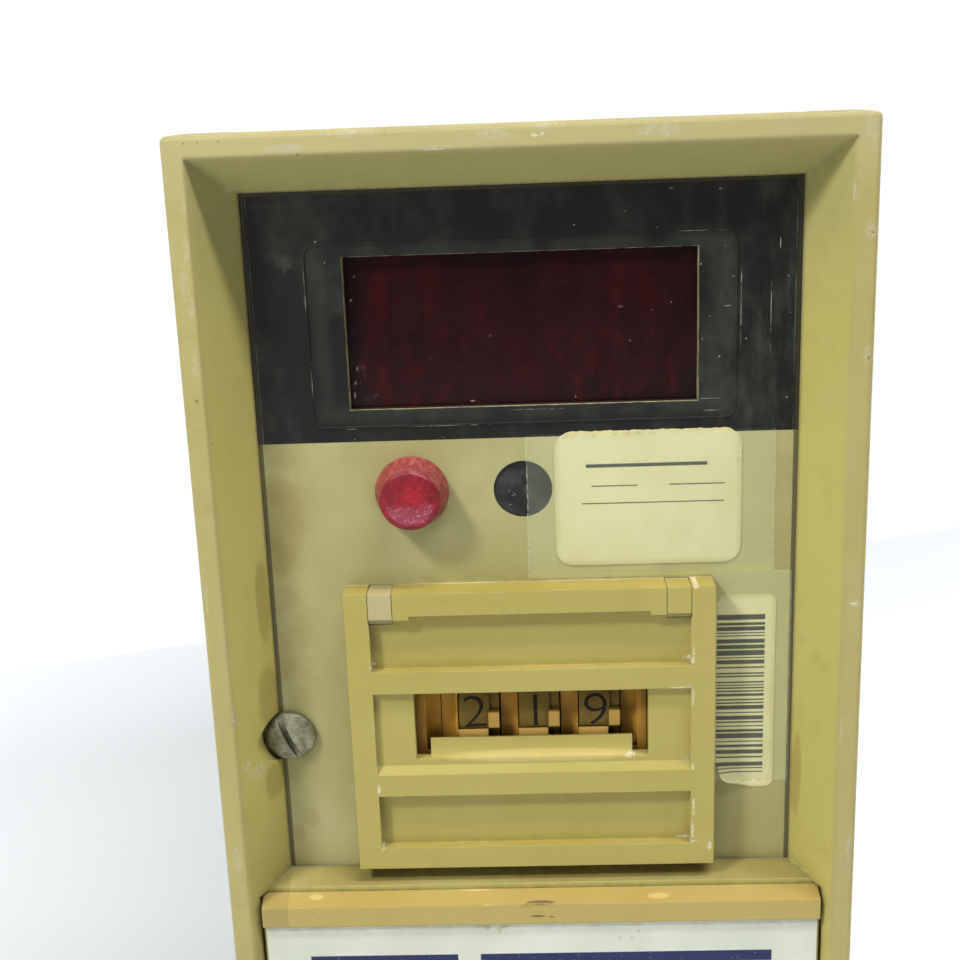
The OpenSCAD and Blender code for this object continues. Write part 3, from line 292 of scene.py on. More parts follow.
def moulding(name, plain, warm, dark, pale, chips=0.5, dirt_and_shade=0.6, radius=0.35, marks=(),
             dirty=(), scuffs_and_highlights=(), foot_at=None):
    """Satin moulded plastic that has yellowed unevenly, with pale rubs and chipped edges.

    The tones are for the sides, the front, painted shade on what faces up (also darker blotches),
    and faded clouds. A clip also has painted shade on its downward faces and a black line of
    painted shadow under it, below the height foot_at.
    """
    f = Finish(name)
    front = f.y.fall(RIM_Y, RIM_Y + 1.2)
    cloud = f.noise(26, 3)
    blotch = f.noise(5, 4, 0.6, shift=11)
    fine = f.noise(0.7, 3, 0.7, shift=3)
    f.colour = f.mix(front, plain, warm)
    f.paint(f.z.rise(78, 89) * front * 0.35, (196, 188, 146))
    # Painted shade: surfaces back from the rim's front and high up, the top slope and the side
    # slopes' upper parts, are greyed darker
    f.paint(f.z.rise(58, 82) * (1 - front) * 0.35, (138, 140, 110))
    # Painted shade: what faces up takes the dark tone
    f.paint(f.facing("Z").rise(0.4, 0.9) * 0.7, dark)
    f.paint(cloud.rise(0.35, 0.75) * 0.3, pale)
    f.paint(blotch.rise(0.5, 0.85) * 0.2, dark)
    f.paint(fine.rise(0.55, 0.8) * 0.08, pale)
    film = f.noise(9, 5, 0.7, (1, 1, 0.45), 23).rise(0.52, 0.72) * front
    rubbed = f.spots(RIM_RUBS).least(front) * f.noise(0.9, 4, 0.7, shift=5).rise(0.36, 0.6)
    dusty = f.spots(SLOPE_RUBS, 0.5, 1.0) * f.noise(0.6, 4, 0.7, shift=8).rise(0.4, 0.62)
    scratch = f.spots(RIM_SCRATCHES, 0.15, size=0.7).least(front) * fine.rise(0.35, 0.6)
    # Brown patches in corners and gaps from ambient occlusion, broken by noise: soiling and painted
    # shade
    brown_patches = f.creases(3.2) * f.noise(2.2, 4, 0.65, shift=31).rise(0.3, 0.7)
    # Painted shade: the lower part of the left slope, next to the face, is darkened brown
    low_slope = f.z.fall(-40, -16) * f.x.fall(-44.4, -44.0) * (1 - front)
    f.paint(low_slope * 0.35, (124, 108, 56))
    handled = f.spots(SLOPE_STAINS, 0.3, 3.0)
    f.paint(handled * 0.4, (128, 104, 46))
    f.paint(film * 0.25, (184, 176, 146))
    f.paint(brown_patches * dirt_and_shade, (92, 80, 44))
    f.paint((rubbed * 0.30).most(dusty * 0.5), (202, 199, 184))
    edge = f.edges(0.45)
    worn = edge * f.noise(1.5, 5, 0.72, shift=17).rise(0.56, 0.66) * chips
    # Painted highlight: a soft pale band along the edges
    soft_edge = edge * f.noise(14, 2, shift=2).rise(0.35, 0.6)
    f.paint(soft_edge * 0.2, (214, 200, 140))
    f.paint((worn * 0.7).most(scratch * 0.6), (228, 224, 204))
    pits = f.spots(RIM_PITS, 0.3, 0.4, 0.5).least(1 - f.y.rise(RIM_Y + 1.2, RIM_Y + 2.0))
    grit = f.specks(6.5, 0.09, 0.3, 2).most(f.specks(3.9, 0.06, 0.25, 9))
    f.paint((pits * 0.6).most(grit * 0.5), (96, 84, 56))
    white = f.specks(8.5, 0.10, 0.3, 20).most(f.specks(5.3, 0.06, 0.25, 27))
    if marks:
        white = white.most(f.spots(marks, 0.5, 0.7) * fine.rise(0.3, 0.6) * 1.4)
    f.paint((white * 0.5).least(0.8), (228, 224, 204))
    # Painted highlight: a pale line along the slopes' foot beside the face
    foot = (f.y.rise(FACE_Y - 0.55, FACE_Y - 0.35)
            * abs(f.x).fall(VIEW_HALF_W + 0.6, VIEW_HALF_W + 0.8))
    f.paint(foot * cloud.rise(0.3, 0.55) * 0.55, (208, 202, 168))
    if dirty:
        f.paint(f.spots(dirty, 0.25, 0.8) * 0.75, (48, 40, 38))
    # Pale scuff marks, and on the frame the ramp's bright band, a painted highlight
    if scuffs_and_highlights:
        f.paint(f.spots(scuffs_and_highlights, 0.2, 1.2) * 0.32, (236, 214, 146))
    if foot_at is not None:
        # Painted shade on the clip's downward faces, and a black line of painted shadow at its
        # lower end
        under = f.facing("Z").fall(-0.55, -0.3)
        f.paint(under * 0.5, (112, 108, 76))
        f.paint(f.z.fall(foot_at + 0.16, foot_at + 0.24), (30, 27, 20))
    waves = f.noise(12, 2, 0.4, shift=6)
    grain = f.noise(0.22, 2, 0.6)
    height = (waves * 0.6 + grain * 0.10 + fine * 0.10
              - worn * 0.4 - pits * 0.4 - scratch * 0.3)
    rough = 0.42 + blotch * 0.16 + worn * 0.2 + brown_patches * 0.2
    return f.shade(rough=rough, specular=0.45,
                   normal=f.relief(height, 0.16, radius))


# Printed film on the face: black above, khaki below -----------------------------------------------

# Pale specks and crumbs on the film, as (x, z, half width, half height)
FILM_SPECKS = [
    (-28.4, 41.9, 0.25, 0.3), (-13.7, 41.8, 0.25, 0.2), (-31.6, 71.2, 0.35, 0.25),
    (-32.9, 74.6, 0.6, 0.35), (8.5, 75.9, 0.5, 0.2), (16.5, 77.8, 0.22, 0.22),
    (21.6, 75.1, 0.25, 0.15), (32.4, 71.9, 0.2, 0.2), (33.7, 67.0, 0.5, 0.2),
    (41.1, 72.0, 0.25, 2.2), (42.5, 66.8, 0.4, 0.3), (42.9, 60.9, 0.25, 0.2),
    (30.0, 60.7, 0.22, 0.25), (32.8, 62.3, 1.6, 0.2), (31.6, 54.1, 0.35, 0.45),
    (35.9, 56.9, 0.35, 0.3), (42.6, 47.0, 0.35, 0.3), (28.5, 69.1, 0.4, 0.5),
    (28.8, 57.0, 0.3, 0.4), (23.8, 81.1, 0.8, 0.2), (31.5, 80.8, 0.7, 0.25),
    (-15.6, 43.9, 0.3, 0.3)]
# Light scratches on it
FILM_SCRATCHES = [(35.0, 61.5, 0.10, 9.0), (35.0, 66.0, 0.14, 2.6), (39.8, 60.5, 0.12, 8.0),
                  (-35.1, 66.5, 0.10, 5.5), (-34.9, 52.5, 0.09, 4.0), (28.9, 74.4, 5.5, 0.09),
                  (30.7, 45.2, 2.4, 0.10), (-12.0, 43.9, 9.5, 0.10), (29.8, 47.2, 3.4, 0.07),
                  (-29.0, 43.7, 2.6, 0.10), (2.0, 46.2, 7.0, 0.06)]


def printed_film():
    """Black print over khaki, with a sunken dark line of painted shadow and the pale edge that run
    round the face.
    """
    f = Finish("face_print_film")
    ragged = (f.noise(0.8, 3, 0.7) - 0.5) * 0.2
    black = (f.z + ragged * 0.3).rise(BLACK_BOTTOM - 0.05, BLACK_BOTTOM + 0.05)
    inside = box_distance(f, RIDGE)
    black = black * f.facing("Y").fall(-0.3, 0.0).most(inside.between(-1.2, 1.2, 0.1))
    cloud = f.noise(18, 3, shift=4)
    blotch = f.noise(3.2, 5, 0.6, shift=9)
    haze = f.noise(11, 4, 0.62, (1, 1, 0.7), 14)
    khaki = f.mix(cloud.rise(0.3, 0.75), (168, 162, 106), (182, 177, 126))
    khaki = f.mix(blotch.rise(0.52, 0.8) * 0.2, khaki, (156, 146, 88))
    low_left = f.x.fall(-42, -30) * f.z.rise(-14, 4)
    khaki = f.mix(low_left * f.noise(9, 4, shift=40).rise(0.3, 0.6) * 0.5, khaki,
                  (146, 132, 74))
    stain = f.spots([(-40.5, -27.5, 1.6, 2.0), (-42.8, -30.5, 1.2, 1.8), (-42.0, 28.0, 5.0, 9.0)],
                    0.5, 7.0)
    khaki = f.mix(stain * 0.25, khaki, (146, 124, 62))
    dark = f.mix(haze.rise(0.42, 0.75) * 0.8, (27, 28, 25), (61, 63, 56))
    band = inside.between(-3.2, -0.7, 0.9) * f.noise(6, 3, shift=30).rise(0.3, 0.6)
    dark = f.mix(band * 0.4, dark, (60, 63, 56))
    corners = [(-38.2, 72.0, 3.0, 2.4), (-40.0, 80.4, 3.2, 0.7), (38.5, 78.8, 1.6, 1.2)]
    near_corner = f.spots(corners, 1.2, 2.0) * blotch.rise(0.35, 0.7)
    right_haze = f.x.rise(24, 40) * f.noise(4, 5, 0.7, (1, 1, 0.3), 21).rise(0.45, 0.8)
    dark = f.mix((right_haze * 0.6).most(near_corner * 0.4), dark, (82, 86, 78))
    f.colour = f.mix(black, khaki, dark)
    cut = box_distance(f, WINDOW) + ragged * 0.3
    rim = cut.fall(0.01, 0.09) * f.noise(2.0, 3, shift=3).rise(0.35, 0.6)
    f.paint(rim * 0.7, (200, 190, 142))
    bare = box_distance(f, UPPER_TAPE).least(box_distance(f, LOWER_TAPE)).rise(-0.1, 0.3)
    khaki_lit = (1 - bare) * (1 - black)
    f.paint(khaki_lit * 0.6, (203, 201, 140))
    # Brown patches in corners and gaps from ambient occlusion, left out under the tapes: soiling
    # and painted shade
    brown_patches = f.creases(3.0) * f.noise(1.8, 4, 0.65, shift=31).rise(0.25, 0.7) * bare
    f.paint(brown_patches * (0.35 - black * 0.2), (96, 84, 46))
    # Painted shadow: the gap along the face's sides and top is darkened, and sunk a little by the
    # bump
    shadowed_groove = abs(f.x).rise(VIEW_HALF_W - 0.55, VIEW_HALF_W - 0.4).most(
        f.z.rise(VIEW_TOP - 0.7, VIEW_TOP - 0.3))
    lip = abs(f.x).between(VIEW_HALF_W - 0.75, VIEW_HALF_W - 0.6, 0.05) * blotch.rise(0.35, 0.6)
    f.paint(shadowed_groove * 0.85, f.mix(black, (84, 78, 48), (62, 56, 38)))
    f.paint(lip * 0.3, (150, 150, 136))
    marks = f.spots(FILM_SPECKS, 0.5, 0.35, 0.42)
    broken = f.noise(1.3, 3, 0.6, (1, 1, 0.5), 7).rise(0.4, 0.62)
    lines = f.spots(FILM_SCRATCHES, 0.1, 2.5, 0.8) * broken
    fine = f.specks(1.9, 0.045, 0.35, 5).most(f.specks(4.6, 0.07, 0.2, 13))
    f.paint((marks * 0.6).most(lines * 0.55).most(fine * (0.15 + black * 0.25)),
            (190, 192, 176))
    rough = 0.34 + haze * 0.22 + brown_patches * 0.2
    height = (f.noise(16, 2, shift=8) * 0.5 + f.noise(0.35, 3, 0.6) * 0.10
              + marks * 0.2 - lines * 0.1)
    return f.shade(rough=rough, specular=0.28,
                   normal=f.relief(height - shadowed_groove * 0.5, 0.14, 0.18))


def ivory_panel():
    """Ivory plastic of the panel, whose cut edges show, with ticks round the trimmers."""
    f = Finish("panel_ivory_plastic")
    cloud = f.noise(15, 4)
    f.colour = f.mix(cloud.rise(0.3, 0.75), (206, 198, 152), (190, 182, 134))
    # Painted shade in corners and gaps, from ambient occlusion
    f.paint(f.creases(2.5) * 0.6, (104, 92, 56))

    def ticks_round(x):
        """Ticks round the trimmer at x, with none at its foot."""
        across, up = f.x - x, f.z - TRIMMER_Z
        out = distance(across, up)
        turn = f.x.maths("ARCTAN2", across, up)
        steps = turn * (TICKS / math.tau)
        spoke = abs(steps - f.x.maths("ROUND", steps))
        return (out.between(4.4, 5.8, 0.08) * (spoke * out).fall(0.18, 0.26)
                * abs(turn).fall(2.5, 2.6))

    ticks = strongest(ticks_round(x) for x in TRIMMERS)
    f.paint(ticks * 0.9 * f.facing("Y").fall(-0.7, -0.5), (50, 50, 46))
    fine = f.specks(3.4, 0.10, 0.3, 5)
    f.paint(fine * 0.6, (110, 96, 66))
    worn = f.edges(0.3) * f.noise(1.4, 4, 0.7).rise(0.45, 0.6)
    f.paint(worn * 0.5, (228, 222, 190))
    window_edge = box_distance(f, WINDOW).fall(0.2, 0.6)
    sill = f.facing("Z").rise(0.5, 0.9) * (1 - f.y.fall(FACE_Y + 0.35, FACE_Y + 0.42))
    torn = f.noise(2.5, 3, shift=3).fall(0.46, 0.6) * 0.6
    f.paint(window_edge * sill.most(torn), (44, 34, 30))
    return f.shade(rough=0.42 + cloud * 0.15, specular=0.45,
                   normal=f.relief(f.noise(0.4, 3) * 0.2 + f.noise(9, 2) * 0.5, 0.12, 0.2))


# Display ------------------------------------------------------------------------------------------

# Crumbs on the red filter, as (x, z, half width, half height)
FILTER_CRUMBS = [(-28.0, 64.8, 0.5, 0.4), (-27.2, 68.6, 0.2, 0.2), (-28.0, 51.1, 0.3, 0.7),
                 (-27.6, 53.5, 0.35, 0.9), (-28.2, 49.0, 0.4, 1.3), (-18.8, 63.1, 0.2, 0.12),
                 (-15.5, 54.7, 0.16, 0.16), (17.3, 56.8, 0.26, 0.26), (20.9, 61.7, 0.2, 0.12),
                 (24.0, 62.9, 0.25, 0.2), (8.3, 47.7, 0.25, 0.25), (-5.5, 58.3, 0.16, 0.3),
                 (-8.7, 47.5, 0.9, 0.25), (15.9, 62.4, 1.4, 0.10)]


def red_filter():
    """Dark red acrylic: the digits show faintly through it, under a haze of dust."""
    f = Finish("filter_red_acrylic")
    cloud = f.noise(9, 5, 0.65, (1, 1, 0.8), 3)
    column = f.noise(5, 3, 0.55, (1, 1, 0.3), 17).rise(0.5, 0.72)
    glow = f.noise(2.6, 5, 0.65, (1, 1, 0.6), 28).rise(0.5, 0.75) * f.z.fall(52, 66)
    f.colour = f.mix(cloud.rise(0.35, 0.7), (33, 10, 13), (50, 17, 19))
    f.paint((column * 0.3).most(glow * 0.75), (92, 6, 14))
    lower_left = f.x.fall(-29, -24) * f.z.fall(46, 70)
    near = f.spots([(-26.8, 52.5, 0.9, 2.4), (-27.4, 49.0, 0.9, 1.6), (-25.5, 48.4, 2.2, 1.0),
                    (-27.8, 58.0, 0.4, 3.0)], 0.8, 0.9)
    grain = f.noise(1.1, 5, 0.72, (1, 1, 0.7), 6).rise(0.42, 0.7)
    hazy = ((lower_left * 0.4 + 0.10) * grain).most(near * grain * 0.7)
    f.paint(hazy * 0.4, (104, 84, 98))
    crumbs = f.spots(FILTER_CRUMBS, 0.6, 0.4, 0.45)
    fine = f.specks(3.1, 0.06, 0.3, 4)
    f.paint((crumbs * 0.75).most(fine * 0.45), (206, 196, 176))
    rough = 0.18 + hazy * 0.3 + crumbs * 0.5
    alpha = 0.80 + hazy * 0.2
    return f.shade(rough=rough, alpha=alpha.most(crumbs).least(1.0), specular=0.3,
                   normal=f.relief(crumbs * 0.4, 0.06))


def digit_block():
    """Dark red display digit whose seven bars are a little brighter."""
    f = Finish("digit_face_epoxy")
    bars = f.y.between(0.25, 0.45, 0.02)
    cloud = f.noise(4, 3)
    f.colour = f.mix(bars, (70, 8, 14), (214, 24, 30))
    f.paint(f.edges(0.4) * 0.8, (190, 20, 26))
    # The faint emission is a painted glow, so that the digits show through the filter
    return f.shade(rough=0.3 + cloud * 0.1, glow=tone((150, 10, 18)),
                   glow_strength=0.12, normal=f.relief(f.noise(0.6, 2), 0.02, 0.2))


# Lamps --------------------------------------------------------------------------------------------

def red_lens():
    """Red plastic lens, pink with dust on its sides and scratched over its front."""
    f = Finish("lens_red_plastic")
    across, up = f.x - LAMP[0], f.z - LAMP[1]
    out = distance(across, up)
    side = f.facing("Y").rise(-0.75, -0.35)
    cloud = f.noise(2.6, 5, 0.65, shift=5)
    f.colour = f.mix(cloud.rise(0.35, 0.7), (118, 9, 26), (162, 18, 38))
    # Painted light: a brighter red spot about the lens's middle and upper half
    painted_light_spot = out.fall(0.4, 4.2) * up.rise(-1.4, 2.0) * f.noise(1.6, 3, shift=9).rise(0.2, 0.6)
    f.paint(painted_light_spot * 0.8, (184, 14, 24))
    low = (up + f.noise(1.8, 3, shift=14) * 2.4).fall(-1.6, 1.6) * (1 - side) * out.fall(3.7, 4.3)
    haze = f.noise(0.9, 5, 0.8, (1, 1, 1.6), 12).rise(0.45, 0.7)
    dust = f.noise(0.3, 5, 0.8, shift=12).rise(0.5, 0.62)
    f.paint((low * (0.2 + haze * 0.5)).most(haze * 0.14), (206, 116, 142))
    f.paint((low * dust * haze * 0.9).least(0.8), (240, 214, 222))
    blotchy = f.noise(1.6, 5, 0.7, (1, 1, 0.6), 2)
    flank = f.mix(blotchy.rise(0.35, 0.6), (130, 36, 36), (146, 64, 60))
    streaky = f.noise(0.8, 4, 0.7, (1, 0.25, 0.5), 44).rise(0.5, 0.62)
    flank = f.mix((blotchy.rise(0.52, 0.7) * 0.45).most(streaky * 0.4), flank, (190, 116, 112))
    f.paint(side * 0.92, flank)
    edge = f.edges(0.3) * f.noise(0.8, 4, 0.7, shift=4).rise(0.5, 0.7)
    fine = f.specks(0.9, 0.05, 0.4, 6)
    rim = f.edges(0.3, 0.01, 0.06) * (1 - side)
    f.paint(rim * 0.6, (70, 6, 18))
    f.paint((edge * side * 0.35).most(fine * 0.5), (232, 190, 184))
    rough = 0.34 + dust * 0.25 + side * 0.15
    return f.shade(rough=rough, specular=0.4, depth=0.1, depth_scale=1 * MM,
                   normal=f.relief(dust * 0.2 + f.noise(1.6, 4, 0.6) * 0.3, 0.08, 0.2))


def bulb_glass():
    """Clear glass of the neon bulb, a little smoked, with bright leads."""
    f = Finish("bulb_glass_clear")
    smoke = f.noise(2, 3).rise(0.4, 0.7)
    lead = f.y.rise(11.8, 12.0)
    f.colour = f.mix(lead, f.mix(smoke, (250, 226, 206), (226, 180, 150)),
                     (170, 168, 160))
    return f.shade(rough=0.08 + smoke * 0.06, metal=lead, alpha=0.55 + lead * 0.45,
                   normal=f.relief(f.noise(1.5, 2), 0.03))


def smoked_window():
    """Small dark window with a few crumbs of dust on it."""
    f = Finish("smoked_window_plastic")
    cloud = f.noise(2.5, 4, 0.6)
    crumbs = f.spots([(-3.2, 32.2, 0.14, 0.08), (-2.2, 31.6, 0.12, 0.12), (-2.6, 31.4, 0.1, 0.08),
                      (-2.4, 31.9, 0.08, 0.08), (-3.0, 29.9, 0.2, 0.06)], 0.4, 0.4, 0.8)
    f.colour = f.mix(cloud.rise(0.4, 0.7), (30, 32, 29), (58, 60, 56))
    f.paint(crumbs.most(f.specks(1.4, 0.04, 0.3) * 0.4), (206, 206, 196))
    return f.shade(rough=0.32 + cloud * 0.12, specular=0.4,
                   normal=f.relief(f.noise(2.5, 3) * 0.5 + crumbs, 0.05, 0.2))


# Thumbwheels --------------------------------------------------------------------------------------

def wheel_plastic():
    """Tan wheel: the lugs are rubbed bright by fingers, and soiling and painted shade lie between
    them.
    """
    f = Finish("wheel_tan_plastic")
    back, up = f.y - WHEEL_AXIS[0], f.z - WHEEL_AXIS[1]
    out = distance(back, up)
    cloud = f.noise(3, 4)
    f.colour = f.mix(cloud.rise(0.35, 0.75), (119, 97, 38), (100, 79, 30))
    lug = out.rise(DRUM_R + 0.2, DRUM_R + 0.9)
    f.paint(lug * 0.85, (194, 154, 76))
    # Painted shade deep between the lugs
    f.paint(f.creases(1.4) * 0.7, (70, 50, 20))
    brown_patches = f.noise(0.8, 4, 0.7, shift=7).rise(0.5, 0.75) * (1 - lug)
    f.paint(brown_patches * 0.35, (120, 92, 44))
    return f.shade(rough=0.5 + cloud * 0.14, specular=0.18,
                   normal=f.relief(f.noise(0.3, 3) * 0.2 + f.noise(4, 2) * 0.4, 0.08, 0.22))


def switch_plastic():
    """Amber-brown plastic of the switch bodies, darker down in its wells with painted shade."""
    f = Finish("switch_brown_plastic")
    cloud = f.noise(4, 4, shift=3)
    streak = f.noise(1.5, 3, 0.6, (1, 1, 0.15), 8)
    f.colour = f.mix(cloud.rise(0.3, 0.75), (182, 136, 48), (156, 112, 38))
    f.paint(streak.rise(0.5, 0.75) * 0.3, (186, 138, 62))
    # Painted shade down in the wells
    f.paint(f.creases(3.0) * 0.75, (60, 36, 12))
    ledges = strongest(f.x.between(x - 2.9, x + 2.6, 0.1) for x, _ in WHEELS.values())
    f.paint(ledges * f.z.between(-11.4, -9.3, 0.1) * 0.6, (224, 184, 104))
    worn = f.edges(0.35) * f.noise(1.1, 4, 0.7).rise(0.35, 0.6)
    f.paint(worn * 0.6, (206, 162, 84))
    return f.shade(rough=0.48 + cloud * 0.14, specular=0.2,
                   normal=f.relief(f.noise(0.3, 3) * 0.15 + streak * 0.3, 0.07, 0.25))


# Door card ----------------------------------------------------------------------------------------

# Stains on the card, as (x, z, half width, half height)
CARD_STAINS = [(-9.3, -44.9, 0.5, 0.9), (-10.1, -44.6, 0.9, 0.4), (-6.3, -44.8, 0.8, 0.5),
               (-7.1, -45.5, 0.4, 0.8), (14.0, -47.4, 0.4, 0.3), (16.1, -47.5, 0.5, 0.25),
               (17.3, -46.3, 0.5, 0.3)]


def card_paper():
    """White card with plain printed rules, stained under the door's lip."""
    f = Finish("card_white_paper")
    fibre = f.noise(0.35, 4, 0.7)
    cloud = f.noise(14, 3)
    f.colour = f.mix(cloud.rise(0.3, 0.75), (222, 224, 210), (208, 212, 194))
    f.paint(fibre.rise(0.5, 0.8) * 0.15, (190, 190, 172))
    front = f.facing("Y").fall(-0.7, -0.5)
    worn_ink = f.noise(0.5, 3, 0.7).fall(0.62, 0.78)
    left, right = -40.8, 40.6
    full_width = f.x.between(left, right, 0.05)
    two_bars = f.x.between(left, -14.6, 0.05).most(f.x.between(-10.6, right, 0.05))
    navy = f.z.between(-52.4, -50.3, 0.05) * two_bars
    brown = f.z.between(-55.0, -54.0, 0.05) * full_width
    thin = (f.z.between(-72.2, -71.9, 0.04)).most(f.z.between(-77.2, -76.9, 0.04)) * full_width
    f.paint(navy * front * worn_ink, (44, 50, 92))
    f.paint((brown * front * worn_ink).most(thin * front * 0.8), (122, 84, 52))
    stains = f.spots(CARD_STAINS, 0.7, 1.1)
    f.paint(stains * 0.55, (184, 168, 100))
    top = f.z.rise(-46.5, -44.0) * f.noise(1.6, 4, 0.65, shift=5).rise(0.4, 0.7)
    f.paint(top * 0.35, (170, 158, 120))
    return f.shade(rough=0.62 + fibre * 0.2, specular=0.3,
                   normal=f.relief(fibre * 0.3 + f.noise(8, 2) * 0.5, 0.05))


# Metals and the parts inside ----------------------------------------------------------------------

def plated(name, bright, dull, dirt_and_shade, rough, lay=(1, 1, 1)):
    """Plated or bare metal: fine brushing, dull patches, painted shade in its corners and specks of
    soiling.
    """
    f = Finish(name)
    patch = f.noise(3.5, 5, 0.65, shift=4)
    brushed = f.noise(0.5, 3, 0.6, lay, 8)
    f.colour = f.mix(patch.rise(0.35, 0.7) * 0.5, bright, dull)
    # Painted shade in corners, with dark specks of soiling
    dark = (f.creases(1.6) * 0.9).most(f.specks(2.2, 0.22, 0.25, 3) * 0.5)
    f.paint(dark, dirt_and_shade)
    scratch = f.noise(0.9, 4, 0.75, (1, 1, 0.2), 15).rise(0.62, 0.7)
    f.paint(scratch * 0.3, (226, 226, 214))
    return f.shade(rough=rough + patch * 0.18 + dark * 0.25, metal=0.85 - dark * 0.6,
                   normal=f.relief(brushed * 0.3 + patch * 0.4 - dark * 0.2, 0.05, 0.2))


def screw_metal():
    """Dull plated steel; the face screw is grey with age and has painted shade deep in its slot."""
    f = Finish("screw_steel_plate")
    aged = f.y.fall(-3.0, -1.0)
    patch = f.noise(1.5, 5, 0.7, shift=4)
    bright = f.mix(patch.rise(0.35, 0.7), (182, 180, 168), (150, 148, 132))
    old = f.mix(patch.rise(0.35, 0.68), (172, 172, 146), (126, 126, 102))
    f.colour = f.mix(aged, bright, old)
    # Painted shade deep in the slot
    slot = f.creases(1.4)
    f.paint((slot * 1.1).least(0.9), (74, 70, 44))
    pits = f.specks(1.0, 0.12, 0.35, 3)
    rust = f.noise(0.9, 4, 0.7, shift=19).rise(0.6, 0.75) * aged
    f.paint((pits * 0.5).most(rust * 0.45), (98, 78, 48))
    pale = f.noise(0.7, 5, 0.75, shift=27).rise(0.58, 0.72) * aged
    f.paint(pale * 0.5, (204, 204, 184))
    f.paint(f.edges(0.25) * 0.5, (206, 204, 186))
    return f.shade(rough=0.42 + patch * 0.2 + slot * 0.2, metal=0.75 - slot * 0.5,
                   normal=f.relief(patch * 0.6 - pits * 0.4 + pale * 0.3, 0.07, 0.2))


def enamel(name, plain, pale):
    """Grey enamel on sheet steel, with fine orange peel and chips at its edges."""
    f = Finish(name)
    cloud = f.noise(30, 3)
    peel = f.noise(1.1, 2, 0.5)
    f.colour = f.mix(cloud.rise(0.3, 0.75), plain, pale)
    dust = f.facing("Z").rise(0.3, 0.9) * f.noise(9, 5, 0.65).rise(0.35, 0.7)
    f.paint(dust * 0.35, (186, 182, 164))
    # Painted shade in corners and gaps
    f.paint(f.creases(3.0) * 0.6, (74, 72, 62))
    scrape = f.noise(2.2, 5, 0.75, (1, 0.18, 1), 9).rise(0.66, 0.72)
    chip = f.edges(0.4) * f.noise(1.3, 5, 0.72, shift=5).rise(0.53, 0.62)
    bare = chip.most(scrape * 0.7)
    f.paint(bare, (138, 132, 122))
    return f.shade(rough=0.40 + cloud * 0.12 + dust * 0.2, metal=bare * 0.6,
                   normal=f.relief(peel * 0.3 - bare * 0.5 + cloud * 0.2, 0.08, 0.3))


def plastic(name, plain, other, rough=0.42):
    """Moulded or wound parts inside and behind: two tones, dust on top and worn edges."""
    f = Finish(name)
    dusty = (150, 146, 128)
    cloud = f.noise(6, 4)
    grain = f.noise(0.3, 3, 0.6)
    f.colour = f.mix(cloud.rise(0.3, 0.75), plain, other)
    dust = f.facing("Z").rise(0.4, 0.9) * f.noise(3, 5, 0.68, shift=6).rise(0.35, 0.7)
    f.paint(dust * 0.35, dusty)
    worn = f.edges(0.3) * f.noise(1.2, 4, 0.7, shift=2).rise(0.4, 0.65)
    f.paint(worn * 0.3, dusty)
    return f.shade(rough=rough + cloud * 0.12 + dust * 0.2,
                   normal=f.relief(grain * 0.25 + f.noise(5, 2) * 0.4, 0.08, 0.25))


def circuit_board():
    """Varnished green laminate with copper tracks under the varnish and solder dots."""
    f = Finish("circuit_board_laminate")
    cells = f.node("ShaderNodeTexVoronoi", {"feature": "F1", "distance": "CHEBYCHEV"},
                   {"Vector": f.moved(), "Scale": 1 / 5.0})
    track = abs(cells - 0.42).fall(0.05, 0.09)
    dots = f.specks(3.8, 0.7, 0.5, 2)
    weave = f.noise(0.5, 2, 0.5)
    f.colour = f.mix(f.noise(12, 3).rise(0.3, 0.7), (40, 92, 50), (54, 106, 58))
    f.paint(track * 0.5, (96, 140, 84))
    f.paint(dots, (176, 176, 168))
    return f.shade(rough=0.28 + dots * 0.1 + weave * 0.1, metal=dots * 0.7,
                   normal=f.relief(track * 0.4 + dots * 0.9 + weave * 0.1, 0.08, 0.15))


def laminations():
    """Stacked transformer sheets: fine lines on the stack's edges."""
    f = Finish("core_steel_sheets")
    line = abs(f.x.maths("FRACT", f.x * 2.0) - 0.5)
    edge_on = 1 - abs(f.facing("X")).rise(0.5, 0.7)
    lines = line.fall(0.06, 0.16) * edge_on
    f.colour = f.mix(f.noise(6, 4).rise(0.3, 0.7), (98, 98, 100), (76, 74, 74))
    f.paint(lines * 0.7, (34, 32, 30))
    rust = f.noise(1.8, 5, 0.7, shift=4).rise(0.58, 0.72)
    f.paint(rust * 0.5, (104, 70, 42))
    return f.shade(rough=0.40 + rust * 0.3, metal=0.6 - rust * 0.5,
                   normal=f.relief(rust * 0.2 - lines * 0.6, 0.12, 0.3))


def ink():
    """Black print on the wheels, thinned here and there."""
    f = Finish("digit_ink")
    wear = f.noise(0.35, 4, 0.7)
    f.colour = f.mix(wear.rise(0.55, 0.8) * 0.5, (38, 33, 26), (104, 84, 46))
    return f.shade(rough=0.55 + wear * 0.2, specular=0.12, normal=f.relief(wear, 0.01))


# Tones: sides, front, painted shade on what faces up (also darker blotches), faded clouds
BEZEL_TONES = ((184, 174, 96), (178, 165, 101), (116, 102, 54), (192, 183, 120))
FRAME_TONES = ((176, 163, 84), (176, 163, 84), (152, 134, 64), (190, 177, 108))
DOOR_TONES = ((182, 162, 90), (180, 160, 92), (160, 133, 62), (192, 172, 106))
CLIP_TONES = ((184, 172, 122), (184, 172, 122), (160, 146, 94), (206, 196, 156))
